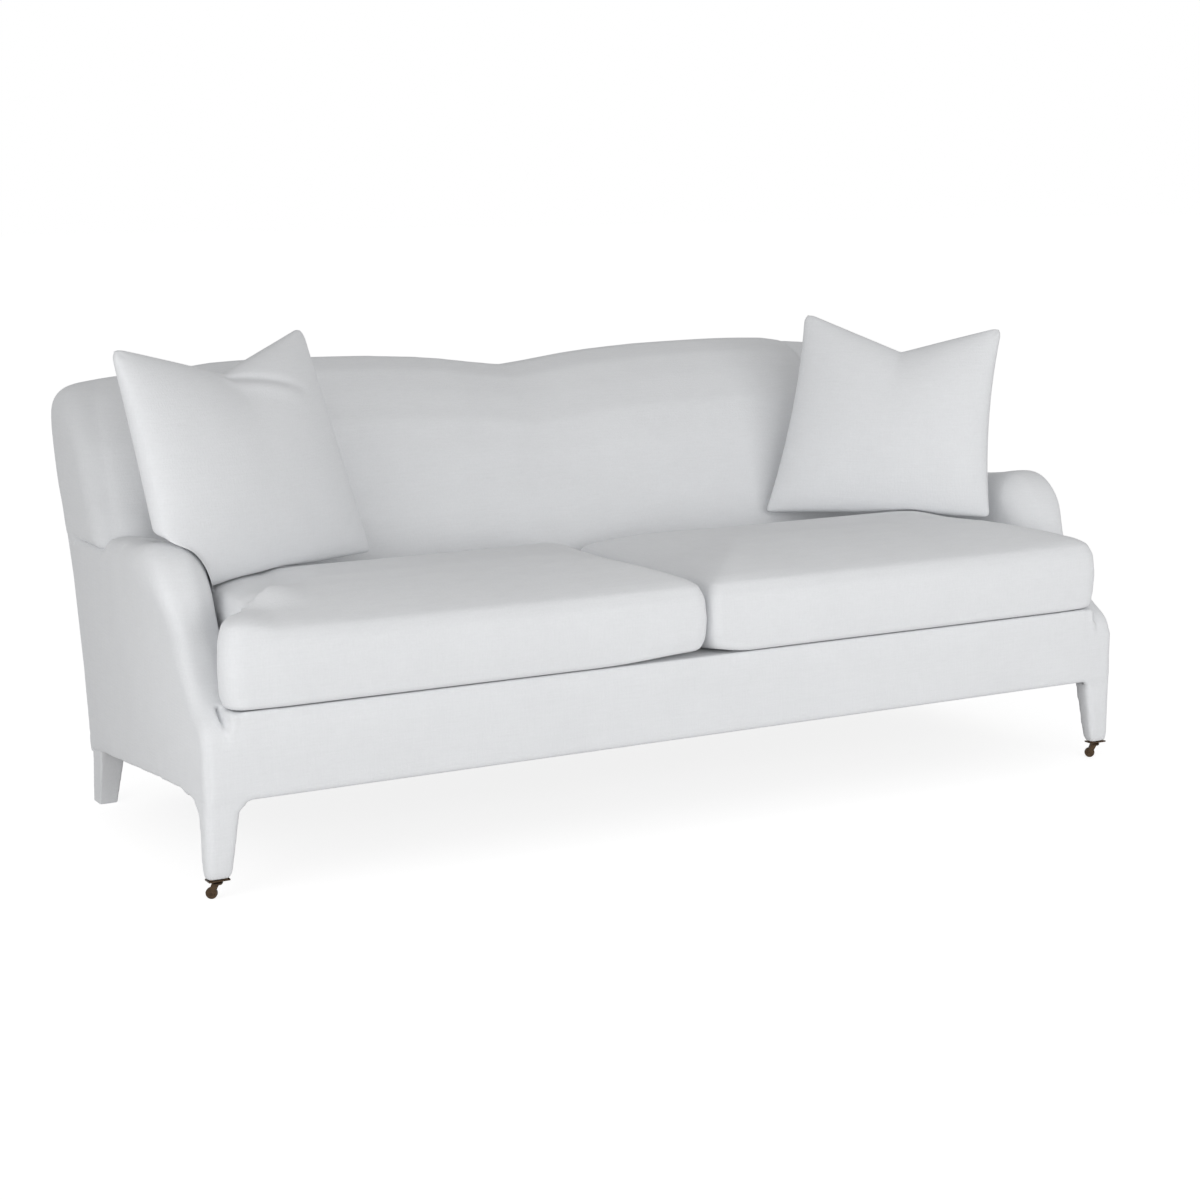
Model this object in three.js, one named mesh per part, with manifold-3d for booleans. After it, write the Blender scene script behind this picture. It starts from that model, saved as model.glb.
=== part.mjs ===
// Camelback sofa with a double-humped back, low rounded arms, two T-shaped seat cushions, two loose pillows,
// fabric-covered legs and small casters on the front legs.
// Millimetres, +Z up, front of the sofa towards -Y, +X to the right, origin at the centre of the footprint.

import * as THREE from "three";
import { mergeVertices } from "three/addons/utils/BufferGeometryUtils.js";
import Module from "manifold-3d";

const wasm = await Module();
wasm.setup();

// Overall sizes
const frontWidth = 2134; // across the front corners of the base
const planTaper = 28; // each side comes in this much towards the rear corners
const rearWidth = frontWidth - planTaper * 2;
const baseDepth = 798; // front plane to the foot of the outside back
const backRake = 192; // how far the back leans out behind its foot
const rearReach = baseDepth + backRake;
const seam = 0.4; // clearance between pieces that touch
const overrun = 60; // how far a cutting tool passes the piece it cuts

// Base
const baseTop = 348; // top edge of the front border, where the cushions start
const frontUnderside = 181; // lower edge of the front border
const sideUnderside = 187; // lower edge of the side panel behind the front leg
const midUnderside = 166;
const rearUnderside = 116;
const midUndersideShare = 0.38; // where along the depth the lower edge passes its middle height
const skinThickness = 8; // fabric with its batting on the flat panels
const borderBulge = 8; // how far the padded border stands in front of the front plane
const borderLipDrop = 26; // how much lower the border ends under the arms
const borderCorner = 12;
const borderShoulder = 0.6; // share of the bulge at the upper and lower edge
const borderEndShares = [[0, 0.35], [0.25, 0.8], [1, 1]]; // bulge close to the ends of the border

// Wood frame
const seatPadding = 57; // springs and deck above the rails, up to the border
const railTop = baseTop - seatPadding;
const railLift = 8; // wood starts this far above the lower edge of the fabric
const railThickness = 28;
const blockReach = 110; // corner block along each rail
const blockShares = [0.165, 0.685]; // foot and top of a corner block on the rail
const stretcherWidth = 44;
const stretcherShare = 0.515; // height of the stretcher under the rail top

// Front legs
const legTopWidth = 66; // where the leg leaves the base
const legTopDepth = 40;
const legFootWidth = 44;
const legFootDepth = 26;
const legFootSet = 4; // how far the foot stands behind the front of its top
const legBlock = 52; // depth of the square top of the leg, inside the base
const legChamfer = 22; // on the outer front corner of that top, so the cover can turn the corner softly
const legCover = 5; // fabric and lining on a leg
const casterHeight = 38; // floor to the foot of the wooden front leg

// Rear legs, in one piece with the back posts
const postWidth = 40;
const postDepth = 45;
const rearFootWidth = 27;
const rearFootDepth = 32;
const footSplay = 22; // how far the rear foot stands behind its own top
const footTuck = 0.25; // share of the narrowing of the foot that lies on its outer side
const soleThickness = 4; // fabric folded under the rear foot
const kneeHeight = 112; // where the rear leg enters the base

// Back
const backLift = 5; // underside of the back above the rails
const backBottom = railTop + backLift;
const crestHump = 916;
const crestDip = 39; // between the humps
const crestNotch = crestHump - crestDip;
const crestFall = 44; // from the humps to the ends of the back
const crestEnd = crestHump - crestFall;
const backThickness = 263; // inside back to outside back at the foot
const faceFoot = baseDepth - backThickness;
const crestSet = 107; // crest in front of the rearmost point
const crestLine = rearReach - crestSet;
const crestPadding = 89; // from the top of the outside back's line up to the humps
const rearLineTop = crestHump - crestPadding;
const wingWidth = 262; // seam of the wing portion to the end of the back
const wingTurn = 26; // how far the wing portions turn forward at the ends
const backEndRound = 34;
const backEndShares = [[1, 0], [0.6, 0.08], [0.2, 0.4], [0, 1]]; // rounding close to the ends of the back
const backTopRound = 0.7; // share of that rounding on the rear side of the crest
const backSideWall = 6; // padding beside the back post
const crestPad = 62; // padding over the top rail
const crestRoll = 92; // how far the padding rolls down over the outside back
const topRailHeight = 90;
const lowerRailHeight = 60;
const lowerRailRise = 90; // lower back rail above the seat rails
const lapThickness = 20; // centre post, lapped in front of the back rails
const centrePostWidth = 60;

// Arms
const armThickness = 102;
const armCrest = 623;
const armFall = 67; // from the crest of the arm to its rear end
const armRear = armCrest - armFall;
const armCrestAt = 252; // front plane to the crest of the arm
const armRearReach = 105; // how far the arm runs in beside the back
const armToe = 61; // front plane to the toe of the arm's front curve
const armToeLift = 2;
const armToeHeight = baseTop + armToeLift;
const armLip = baseTop - borderLipDrop; // where the arm cover meets the border
const armRound = 34;
const armRoundShares = [[0, 1], [0.12, 0.45], [0.4, 0.1], [1, 0]]; // rounding in from the side of the arm
const armOuterRound = 0.8; // share of the rounding on the outer side
const armToeRound = 0.4; // share of the rounding at the toe
const armRollDepth = 98; // of the arm roll on the outside
const rollLine = armCrest - armRollDepth;
const armRailHeight = 34;
const armRailWidth = 52;
const armRailStart = 36; // front end of the arm rail before the crest of the arm
const armPostDepth = 46;
const armPostDrop = 29; // top of the arm post below the arm roll
const armPostTop = rollLine - armPostDrop;

// Seat
const deckDrop = 2; // deck below the border
const deckTop = baseTop - deckDrop;
const springWire = 4;
const springCount = 8;
const springSwing = 22; // half the width of a zigzag spring
const springBends = 22;
const springInset = 8;
const cambricThickness = 1.5;

// Seat cushions
const cushionLift = 0.4; // seat cushion above the border
const cushionEdge = 156; // height of the cushion at its edge
const cushionCrown = 45;
const cushionTop = baseTop + cushionLift + cushionEdge + cushionCrown;
const cushionGap = 3; // between the two cushions
const cushionArmGap = 5;
const cushionOverhang = 26;
const cushionBackGap = 5;
const cushionRakeShare = 0.594; // the rear side leans back with the inside back
const cushionRake = (cushionRakeShare * cushionEdge * (crestLine - faceFoot)) / (crestHump - backBottom);
const cushionEarInset = 47; // ear end behind the corner of the base
const cushionEarFront = 13;
const cushionEarRear = 42;
const cushionCorner = 26;
const cushionPull = 7; // how far the sides are drawn in between corners
const cushionTravel = 250; // how far a cushion pulls forward
const cushionSpine = [0.27, 0.73]; // flat middle of the crown, as shares of the width to the arm

// Throw pillows
const pillowFull = 150;
const pillowChop = 78; // depth of the dent between the ears
const pillowPull = 16;
const pillowSteps = 16;
const pillowEdge = 4;
const pillowSink = 19.4; // lowest corner of a pillow under the crown of its cushion
const pillows = {
  throw_pillow_left: {
    side: -1, inset: 292, reach: 165,
    width: 628, top: 516, height: 486, shift: 0, skew: -4, turn: 30, lean: 16.2,
  },
  throw_pillow_right: {
    side: 1, inset: 346, reach: 122,
    width: 518, top: 436, height: 455, shift: 43, skew: 16, turn: -42.2, lean: 14,
  },
};

// Casters
const plateWidth = 41;
const plateDepth = 24;
const plateThickness = 3;
const wheelDiameter = 22;
const wheelWidth = 8;
const wheelFace = 6; // flat tread between the rounded shoulders
const axleDiameter = 3;
const cheekThickness = 2;
const cheekWidth = 8;
const casterPlay = 0.5;
const stemDiameter = 7;
const stemLength = 40;
const domeDiameter = 20;
const domeHeight = 7;
const domeShares = [[0.8, 0], [1, 0.5], [0.5, 1]]; // radius by height
const casterTrail = 12; // swivel axis to wheel axle
const trailTurn = 147; // both casters trail to the left and a little back
const roundSides = 16;

// Materials
const finishes = {
  linen: { color: 0xd8dadd, roughness: 0.92, metalness: 0 },
  wood: { color: 0xb58e5f, roughness: 0.65, metalness: 0 },
  cambric: { color: 0x2b2b2e, roughness: 0.95, metalness: 0 },
  steel: { color: 0x8d9094, roughness: 0.4, metalness: 0.9 },
  bronze: { color: 0x5b4129, roughness: 0.4, metalness: 0.9 },
};

const sofa = new THREE.Group();

function add(name, geometry, finish) {
  const material = new THREE.MeshStandardMaterial(finishes[finish]);
  const mesh = new THREE.Mesh(geometry, material);
  mesh.name = name;
  sofa.add(mesh);
  return mesh;
}

// Right-hand piece and its mirror image
function addPair(name, geometry, finish) {
  add(name + "_right", geometry, finish);
  add(name + "_left", geometry, finish).scale.x = -1;
}

// Solids
function solidOf(geometry) {
  const bare = new THREE.BufferGeometry().setAttribute("position", geometry.getAttribute("position"));
  if (geometry.index) bare.setIndex(geometry.index);
  const merged = mergeVertices(bare);
  return new wasm.Manifold(
    new wasm.Mesh({
      numProp: 3,
      vertProperties: new Float32Array(merged.attributes.position.array),
      triVerts: new Uint32Array(merged.index.array),
    }),
  );
}

function geometryOf(solid) {
  const mesh = solid.getMesh();
  return new THREE.BufferGeometry()
    .setAttribute("position", new THREE.BufferAttribute(new Float32Array(mesh.vertProperties), 3))
    .setIndex(new THREE.BufferAttribute(new Uint32Array(mesh.triVerts), 1))
    .toNonIndexed();
}

function cut(geometry, ...tools) {
  return geometryOf(tools.reduce((left, tool) => left.subtract(solidOf(tool)), solidOf(geometry)));
}

function keep(geometry, ...tools) {
  return geometryOf(tools.reduce((left, tool) => left.intersect(solidOf(tool)), solidOf(geometry)));
}

// The largest body of a piece, without the slivers that a cut along a shared face leaves
function mainBody(geometry) {
  const bodies = solidOf(geometry).decompose();
  return geometryOf(bodies.sort((a, b) => b.volume() - a.volume())[0]);
}

function join(geometry, ...others) {
  return geometryOf(others.reduce((left, other) => left.add(solidOf(other)), solidOf(geometry)));
}

// Outline points to an extrusion along one axis; the outline is given as [y, z], [x, z] or [x, y]
const outlineAxes = {
  x: [new THREE.Vector3(0, 1, 0), new THREE.Vector3(0, 0, 1), new THREE.Vector3(1, 0, 0)],
  y: [new THREE.Vector3(1, 0, 0), new THREE.Vector3(0, 0, 1), new THREE.Vector3(0, -1, 0)],
  z: [new THREE.Vector3(1, 0, 0), new THREE.Vector3(0, 1, 0), new THREE.Vector3(0, 0, 1)],
};

function prism(axis, points, from, to) {
  const shape = new THREE.Shape(points.map(([a, b]) => new THREE.Vector2(a, b)));
  const geometry = new THREE.ExtrudeGeometry(shape, { depth: to - from, bevelEnabled: false });
  geometry.translate(0, 0, axis === "y" ? -to : from);
  return geometry.applyMatrix4(new THREE.Matrix4().makeBasis(...outlineAxes[axis]));
}

function block(low, high) {
  const size = high.map((value, i) => value - low[i]);
  const centre = high.map((value, i) => (value + low[i]) / 2);
  return new THREE.BoxGeometry(...size).translate(...centre);
}

// Moves every point of a geometry by a function of its place
function reshape(geometry, move) {
  const place = geometry.getAttribute("position");
  const point = new THREE.Vector3();
  for (let i = 0; i < place.count; i++) {
    move(point.fromBufferAttribute(place, i));
    place.setXYZ(i, point.x, point.y, point.z);
  }
  return geometry;
}

function signedArea(points) {
  return THREE.ShapeUtils.area(points);
}

function flatCap(outline) {
  const turn = signedArea(outline) > 0;
  return THREE.ShapeUtils.triangulateShape(outline.slice(), []).map(([a, b, c]) =>
    signedArea([outline[a], outline[b], outline[c]]) > 0 === turn ? [a, b, c] : [a, c, b],
  );
}

// Cap of a thin ring whose second half runs back beside its first
function stripCap(count) {
  const faces = [];
  for (let i = 0; i < count / 2 - 1; i++) {
    const j = count - 1 - i;
    faces.push([i, i + 1, j - 1], [i, j - 1, j]);
  }
  return faces;
}

// Closed skin over a row of rings with equal numbers of points, with a flat cap or a strip cap at both ends
function loft(rings, flat) {
  const count = rings[0].length;
  const triangles = [];
  for (let r = 0; r < rings.length - 1; r++) {
    for (let i = 0; i < count; i++) {
      const j = (i + 1) % count;
      triangles.push([rings[r][i], rings[r][j], rings[r + 1][j]]);
      triangles.push([rings[r][i], rings[r + 1][j], rings[r + 1][i]]);
    }
  }
  [rings[0], rings[rings.length - 1]].forEach((ring, end) => {
    for (const face of flat ? flatCap(ring.map(flat)) : stripCap(count)) {
      const corners = face.map((k) => ring[k]);
      triangles.push(end === 0 ? corners.reverse() : corners);
    }
  });
  let volume = 0;
  const cross = new THREE.Vector3();
  for (const [a, b, c] of triangles) volume += cross.crossVectors(b, c).dot(a);
  if (volume < 0) triangles.forEach((t) => t.reverse());
  const places = triangles.flat().flatMap((p) => [p.x, p.y, p.z]);
  return new THREE.BufferGeometry().setAttribute("position", new THREE.Float32BufferAttribute(places, 3));
}

// Points of a closed outline moved inwards, each by its own amount
function inset(points, amounts) {
  const turn = Math.sign(signedArea(points));
  return points.map((p, i) => {
    const before = points[(i + points.length - 1) % points.length];
    const after = points[(i + 1) % points.length];
    const along = new THREE.Vector2().subVectors(after, before).normalize();
    return new THREE.Vector2(p.x - along.y * turn * amounts[i], p.y + along.x * turn * amounts[i]);
  });
}

// Straight runs between listed places
function along(table, at) {
  for (let i = 1; i < table.length; i++) {
    if (at > table[i][0] && i < table.length - 1) continue;
    const [x0, y0] = table[i - 1];
    const [x1, y1] = table[i];
    return y0 + ((y1 - y0) * (at - x0)) / (x1 - x0);
  }
}

function smooth(points, steps) {
  const curve = new THREE.SplineCurve(points.map(([a, b]) => new THREE.Vector2(a, b)));
  return curve.getPoints(steps).map((p) => [p.x, p.y]);
}

// Lines that the pieces share
function halfWidth(y) {
  return (frontWidth - ((frontWidth - rearWidth) * y) / baseDepth) / 2;
}

const rearLineShares = [[0, 0], [0.25, 0.16], [0.49, 0.385], [0.73, 0.72], [0.93, 0.965], [1, 1]];
const rearLineTable = rearLineShares.map(([rise, reach]) => [
  kneeHeight + rise * (rearLineTop - kneeHeight),
  baseDepth + reach * (rearReach - baseDepth),
]);

function rearLine(z) {
  return along(rearLineTable, Math.min(z, rearLineTop));
}

const undersideTable = [
  [0, sideUnderside],
  [midUndersideShare * baseDepth, midUnderside],
  [baseDepth, rearUnderside],
];

function underside(y) {
  return along(undersideTable, y);
}

const crestShares = [[0, 0], [0.08, 0.26], [0.18, 0.62], [0.32, 0.88], [0.46, 0.98], [0.58, 1]];
const shoulderShares = [[0.58, 1], [0.7, 0.88], [0.8, 0.55], [0.9, 0.35], [1, 0]];
const backSeam = halfWidth(crestLine) - wingWidth;
const crestTable = smooth(
  [
    ...crestShares.map(([out, rise]) => [
      out * halfWidth(crestLine),
      crestNotch + rise * (crestHump - crestNotch),
    ]),
    ...shoulderShares
      .slice(1)
      .map(([out, rise]) => [out * halfWidth(crestLine), crestEnd + rise * (crestHump - crestEnd)]),
  ],
  20,
);

function crest(x) {
  return along(crestTable, Math.abs(x));
}

// Raked slab parallel to the outside back, measured forward from the rear line
function rakedSlab(near, far, low, high, halfLength) {
  const heights = [low, ...rearLineTable.map(([z]) => z).filter((z) => z > low && z < high), high];
  const rear = heights.map((z) => [rearLine(z) - near, z]);
  const front = heights.map((z) => [rearLine(z) - far, z]).reverse();
  return prism("x", [...rear, ...front], -halfLength, halfLength);
}

// Region under a line that follows the crest, dropped by a given amount
function underCrest(drop, low, reach) {
  const steps = crestTable.map(([x]) => x).filter((x) => x < reach);
  const right = [...steps, reach].map((x) => [x, crest(x) - drop]);
  const left = right.slice(1).map(([x, z]) => [-x, z]).reverse();
  const outline = [[-reach, low], [reach, low], ...right.reverse(), ...left.reverse()];
  return prism("y", outline, -overrun, rearReach + overrun);
}

// Region inside the tapered plan, held in from the side lines
function insidePlan(inward, low, high) {
  const y0 = -overrun;
  const y1 = rearReach + overrun;
  const a = halfWidth(y0) - inward;
  const b = halfWidth(y1) - inward;
  return prism("z", [[-a, y0], [a, y0], [b, y1], [-b, y1]], low, high);
}

// Side piece: an outline in depth and height, between two distances in from the tapered side line
function sidePiece(points, outer, inner) {
  const geometry = prism("x", points, -inner, -outer);
  return reshape(geometry, (p) => (p.x += halfWidth(p.y)));
}

// Base frame
const postFront = (z) => rearLine(z) - skinThickness - seam - postDepth;
const railEnd = postFront(railTop) - seam;
const legCoreInner = halfWidth(0) - legTopWidth + legCover;

function frontRail() {
  const reach = legCoreInner - seam;
  const low = sideUnderside + railLift;
  return block([-reach, seam, low], [reach, seam + railThickness, railTop]);
}

function sideRail() {
  const start = seam + legBlock + seam;
  const end = postFront(rearUnderside + railLift) - seam;
  const low = underside(end) + railLift;
  const heights = rearLineTable.map(([z]) => z).filter((z) => z > low && z < railTop - seam);
  const points = [
    [start, railTop],
    [start, underside(start) + railLift],
    [midUndersideShare * baseDepth, midUnderside + railLift],
    [end, low],
    ...heights.map((z) => [postFront(z) - seam, z]),
    [railEnd, railTop],
  ];
  return sidePiece(points, skinThickness + seam, skinThickness + seam + railThickness);
}

const postInner = halfWidth(rearReach) - backSideWall - seam * 2 - postWidth;

function rearRail() {
  const near = skinThickness + seam;
  const front = rearLine(rearUnderside) - near - railThickness;
  return rakedSlab(near, near + railThickness, underside(front) + railLift, railTop, postInner - seam);
}

function centreStretcher() {
  const low = midUnderside + railLift + seam;
  const high = low + stretcherShare * (railTop - low);
  const back = (z) => rearLine(z) - skinThickness - seam * 2 - railThickness;
  const points = [
    [seam * 2 + railThickness, sideUnderside + railLift],
    [seam * 2 + railThickness, high],
    [back(high), high],
    [back(low), low],
  ];
  return prism("x", points, -stretcherWidth / 2, stretcherWidth / 2);
}

function blockSpan(low) {
  return blockShares.map((share) => low + share * (railTop - low));
}

function frontBlock() {
  const y0 = seam * 2 + railThickness;
  const y1 = seam * 2 + legBlock;
  const x0 = legCoreInner - seam;
  const x1 = halfWidth(blockReach + y0) - skinThickness - seam * 2 - railThickness;
  const points = [[x0 - blockReach, y0], [x0, y0], [x0, y1], [x1, y1], [x1, blockReach + y0]];
  return prism("z", points, ...blockSpan(sideUnderside + railLift));
}

function rearBlock() {
  const [low, top] = blockSpan(sideUnderside + railLift);
  const y1 = rearLine(low) - skinThickness - seam * 2 - railThickness;
  const y0 = postFront(low) - seam;
  const x0 = postInner - seam;
  const x1 = halfWidth(y0) - skinThickness - seam * 2 - railThickness;
  const points = [[x0 - blockReach, y1], [x0, y1], [x0, y0], [x1, y0], [x1, y0 - blockReach]];
  return prism("z", points, low, top);
}

// Front leg and its cover; a ring is a rectangle given by its outer corner
function legSection(outer, front, width, depth, z) {
  return [
    new THREE.Vector3(outer - width, front, z),
    new THREE.Vector3(outer, front, z),
    new THREE.Vector3(outer, front + depth, z),
    new THREE.Vector3(outer - width, front + depth, z),
  ];
}

const inPlan = (p) => new THREE.Vector2(p.x, p.y);

function legRing(z, grow) {
  const rise = (z - casterHeight) / (frontUnderside - casterHeight);
  const width = legFootWidth + (legTopWidth - legFootWidth) * rise + grow * 2;
  const depth = legFootDepth + (legTopDepth - legFootDepth) * rise + grow * 2;
  const front = legFootSet * (1 - rise) - legCover - grow;
  return legSection(halfWidth(0) + grow, front, width, depth, z);
}

const stem = { x: halfWidth(0) - legFootWidth / 2, y: legFootSet - legCover + legFootDepth / 2 };

function stemHole(radius, low, high) {
  return new THREE.CylinderGeometry(radius, radius, high - low, roundSides)
    .rotateX(Math.PI / 2)
    .translate(stem.x, stem.y, (low + high) / 2);
}

function frontLeg() {
  const foot = casterHeight + seam;
  const top = frontUnderside;
  const leg = loft([legRing(foot, -legCover - seam), legRing(top, -legCover - seam)], inPlan);
  const x1 = halfWidth(legBlock) - skinThickness - seam;
  const y1 = seam + legBlock;
  const outline = [
    [legCoreInner, seam],
    [x1 - legChamfer, seam],
    [x1, seam + legChamfer],
    [x1, y1],
    [legCoreInner, y1],
  ];
  const upper = prism("z", outline, top - seam, railTop);
  const bored = stemHole(stemDiameter / 2 + casterPlay, foot - overrun, foot + stemLength);
  return cut(join(leg, upper), bored);
}

function frontLegCover() {
  const foot = casterHeight + seam;
  const top = frontUnderside - seam * 2;
  const outside = loft([legRing(foot, 0), legRing(top, 0)], inPlan);
  const inside = loft([legRing(foot - overrun, -legCover), legRing(top + overrun, -legCover)], inPlan);
  return cut(outside, inside);
}

// Rear leg and back post in one piece
const postOuter = postInner + postWidth;

function footRing(z, grow) {
  const rise = z / kneeHeight;
  const width = rearFootWidth + (postWidth - rearFootWidth) * rise;
  const depth = rearFootDepth + (postDepth - rearFootDepth) * rise;
  const outer = postOuter - (postWidth - rearFootWidth) * (1 - rise) * footTuck;
  const rear = rearLine(kneeHeight) - skinThickness - seam + footSplay * (1 - rise);
  return [
    new THREE.Vector3(outer - width - grow, rear - depth - grow, z),
    new THREE.Vector3(outer + grow, rear - depth - grow, z),
    new THREE.Vector3(outer + grow, rear + grow, z),
    new THREE.Vector3(outer - width - grow, rear + grow, z),
  ];
}

function rearPost() {
  const leg = loft([footRing(soleThickness + seam, 0), footRing(kneeHeight, 0)], inPlan);
  const near = skinThickness + seam;
  const post = keep(
    rakedSlab(near, near + postDepth, kneeHeight - seam, crestHump, postOuter),
    block([postInner, 0, 0], [postOuter, rearReach, crestEnd - crestPad * 2]),
  );
  return join(leg, post);
}

function rearLegCover() {
  const top = kneeHeight - seam;
  const outside = loft([footRing(0, legCover), footRing(top, legCover)], inPlan);
  const inside = loft([footRing(soleThickness, seam), footRing(top + overrun, seam)], inPlan);
  return cut(outside, inside);
}

// Upholstered base
function borderRing(x, lip, front) {
  const top = baseTop - lip * borderLipDrop;
  const low = frontUnderside;
  const points = [
    [0, low],
    [-front * borderShoulder, low],
    [-front, low + borderCorner / 2],
    [-front, top - borderCorner],
    [-front * borderShoulder, top - borderCorner / 4],
    [0, top],
  ];
  return points.map(([y, z]) => new THREE.Vector3(x, y, z));
}

const inProfile = (p) => new THREE.Vector2(p.y, p.z);

function frontBorder() {
  const end = halfWidth(0);
  const arm = end - armThickness;
  const stations = [
    ...borderEndShares.map(([inward, bulge]) => [end - borderBulge * inward, 1, borderBulge * bulge]),
    [arm + borderCorner, 1, borderBulge],
    [arm - borderCorner, 0, borderBulge],
  ];
  const right = stations.map(([x, lip, front]) => borderRing(x, lip, front));
  const left = stations.map(([x, lip, front]) => borderRing(-x, lip, front)).reverse();
  return loft([...right, ...left], inProfile);
}

// Arm outline from the border over the front curve and the crest to the back
const armFrontShares = [[0, 0], [0.28, 0.33], [1, 1]]; // from the lip to the toe
const armCurveShares = [[0.46, 0.51], [0.56, 0.67], [0.66, 0.83], [0.82, 0.97], [1, 1]]; // on to the crest
const armFallShares = [[0.09, 0.12], [0.28, 0.37], [0.47, 0.63], [0.75, 0.9], [1, 1]]; // on to the rear

function armLine() {
  const armRearAt = faceFoot + armRearReach;
  return [
    ...armFrontShares.map(([u, w]) => [seam + u * (armToe - seam), armLip + w * (armToeHeight - armLip)]),
    ...armCurveShares.map(([u, w]) => [
      armToe + u * (armCrestAt - armToe),
      armToeHeight + w * (armCrest - armToeHeight),
    ]),
    ...armFallShares.map(([u, w]) => [
      armCrestAt + u * (armRearAt - armCrestAt),
      armCrest + w * (armRear - armCrest),
    ]),
  ];
}

function armForm() {
  const start = railTop + seam;
  const line = armLine();
  const outline = [[seam, start], ...line, [railEnd, armRear], [railEnd, start]];
  const points = outline.map(([y, z]) => new THREE.Vector2(y, z));
  const roundness = [0, 0, 0, armToeRound, armToeRound, ...line.slice(4).map(() => 1), 1, 0];
  const inner = armRoundShares.map(([x, cutIn]) => [-armThickness + x * armRound, cutIn]);
  const outer = armRoundShares.map(([x, cutIn]) => [-x * armRound, cutIn * armOuterRound]).reverse();
  const rings = [...inner, ...outer].map(([x, cutIn]) => {
    const amounts = roundness.map((share) => share * cutIn * armRound);
    return inset(points, amounts).map((p) => new THREE.Vector3(x, p.x, p.y));
  });
  return reshape(loft(rings, inProfile), (p) => (p.x += halfWidth(p.y)));
}

// Outside arm panel, from the border to the rear line and up to the arm roll
function armPanel(grow) {
  const front = armLine().filter(([, z]) => z < rollLine + grow);
  const last = front[front.length - 1];
  const next = armLine()[front.length];
  const top = rollLine + grow;
  const meet = last[0] + ((next[0] - last[0]) * (top - last[1])) / (next[1] - last[1]);
  const heights = rearLineTable.map(([z]) => z).filter((z) => z > rearUnderside && z < top).reverse();
  const points = [
    [seam, sideUnderside],
    ...front,
    [meet, top],
    [rearLine(top) + grow, top],
    ...heights.map((z) => [rearLine(z) + grow, z]),
    [rearLine(rearUnderside) + grow, rearUnderside],
    [midUndersideShare * baseDepth, midUnderside],
  ];
  return sidePiece(points, grow ? -overrun : 0, skinThickness + grow);
}

function armPost(grow) {
  const start = railTop + seam;
  const slope = (rollLine - armToeHeight) / (armCrestAt - armToe);
  const shift = (armPostTop - start) / slope / 2;
  const y0 = armToe + armRound - grow;
  const y1 = y0 + armPostDepth + grow * 2;
  const low = start - (grow ? overrun : 0);
  const points = [
    [y0, low],
    [y0, start],
    [y0 + shift, armPostTop],
    [y1 + shift, armPostTop],
    [y1, start],
    [y1, low],
  ];
  return sidePiece(points, skinThickness + seam - grow, skinThickness + seam + railThickness + grow);
}

function armRail(grow) {
  const low = armPostTop + seam - grow;
  const y0 = armCrestAt - armRailStart - grow;
  const end = (z) => postFront(z) - seam + (grow ? overrun : 0);
  const high = low + armRailHeight + grow * 2;
  const points = [[y0, low], [y0, high], [end(high), high], [end(low), low]];
  return sidePiece(points, skinThickness + seam - grow, skinThickness + seam + armRailWidth + grow);
}

// Back: rings of depth and height at stations across the width
const lowFaceShares = [[0, 0], [0.03, 0.087], [0.187, 0.33], [0.302, 0.522], [0.402, 0.683]];
const faceShares = [...lowFaceShares, [0.509, 0.795], [0.661, 0.884], [0.819, 0.958], [1, 1]];
const overTopShares = [[0.55, 0.88], [0.93, 0.45]]; // from the crest to the top of the rear line

function backRing(x, rounding, grow) {
  const top = crest(x);
  const turn = Math.max(0, (Math.abs(x) - backSeam) / (halfWidth(crestLine) - backSeam)) * wingTurn;
  const face = faceShares.map(([u, w]) => [
    faceFoot + u * (crestLine - faceFoot) - turn * (1 - u) - grow,
    backBottom + w * (top - backBottom),
  ]);
  const over = overTopShares.map(([u, w]) => [
    crestLine + u * (rearReach - crestLine),
    rearLineTop + w * (top - rearLineTop),
  ]);
  const heights = rearLineTable.map(([z]) => z).filter((z) => z > backBottom);
  const rear = [backBottom, ...heights].reverse().map((z) => [rearLine(z), z]);
  const shares = [
    0,
    ...face.slice(1).map(() => 1),
    ...[...over, rear[0]].map(() => backTopRound),
    ...rear.slice(1).map(() => 0),
  ];
  const points = [...face, ...over, ...rear].map(([y, z]) => new THREE.Vector2(y, z));
  const scale = (y) => (halfWidth(y) + grow) / halfWidth(crestLine);
  return inset(points, shares.map((share) => share * rounding)).map(
    (p) => new THREE.Vector3(x * scale(p.x - grow * 2), p.x, p.y),
  );
}

function backForm(grow) {
  const end = halfWidth(crestLine);
  const round = backEndRound;
  const stations = crestTable.map(([x]) => [x, 0]).filter(([x]) => x < end - round);
  const last = backEndShares.map(([inward, share]) => [end - round * inward, share]);
  const right = [...stations, ...last];
  const left = right.slice(1).map(([x, r]) => [-x, r]).reverse();
  return loft([...left, ...right].map(([x, r]) => backRing(x, r * round, grow)), inProfile);
}

// Room in the padding for the outside back and, deeper in, for the posts and rails
function backRecess(near, far, drop) {
  return keep(
    rakedSlab(near, far, backBottom - overrun, crestHump, frontWidth),
    underCrest(drop, 0, frontWidth / 2),
    insidePlan(backSideWall, 0, crestHump),
  );
}

function outsideBack() {
  return keep(
    rakedSlab(0, skinThickness, rearUnderside, crestHump, frontWidth),
    underCrest(crestRoll + seam, 0, frontWidth / 2),
    insidePlan(skinThickness + seam, 0, crestHump),
  );
}

const backRailNear = skinThickness + seam;
const backRailFar = backRailNear + postDepth - lapThickness - seam;

function topRail() {
  return keep(
    rakedSlab(backRailNear, backRailFar, railTop, crestHump, postInner - seam),
    underCrest(crestPad + seam, crestEnd - crestPad - topRailHeight, frontWidth / 2),
  );
}

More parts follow.
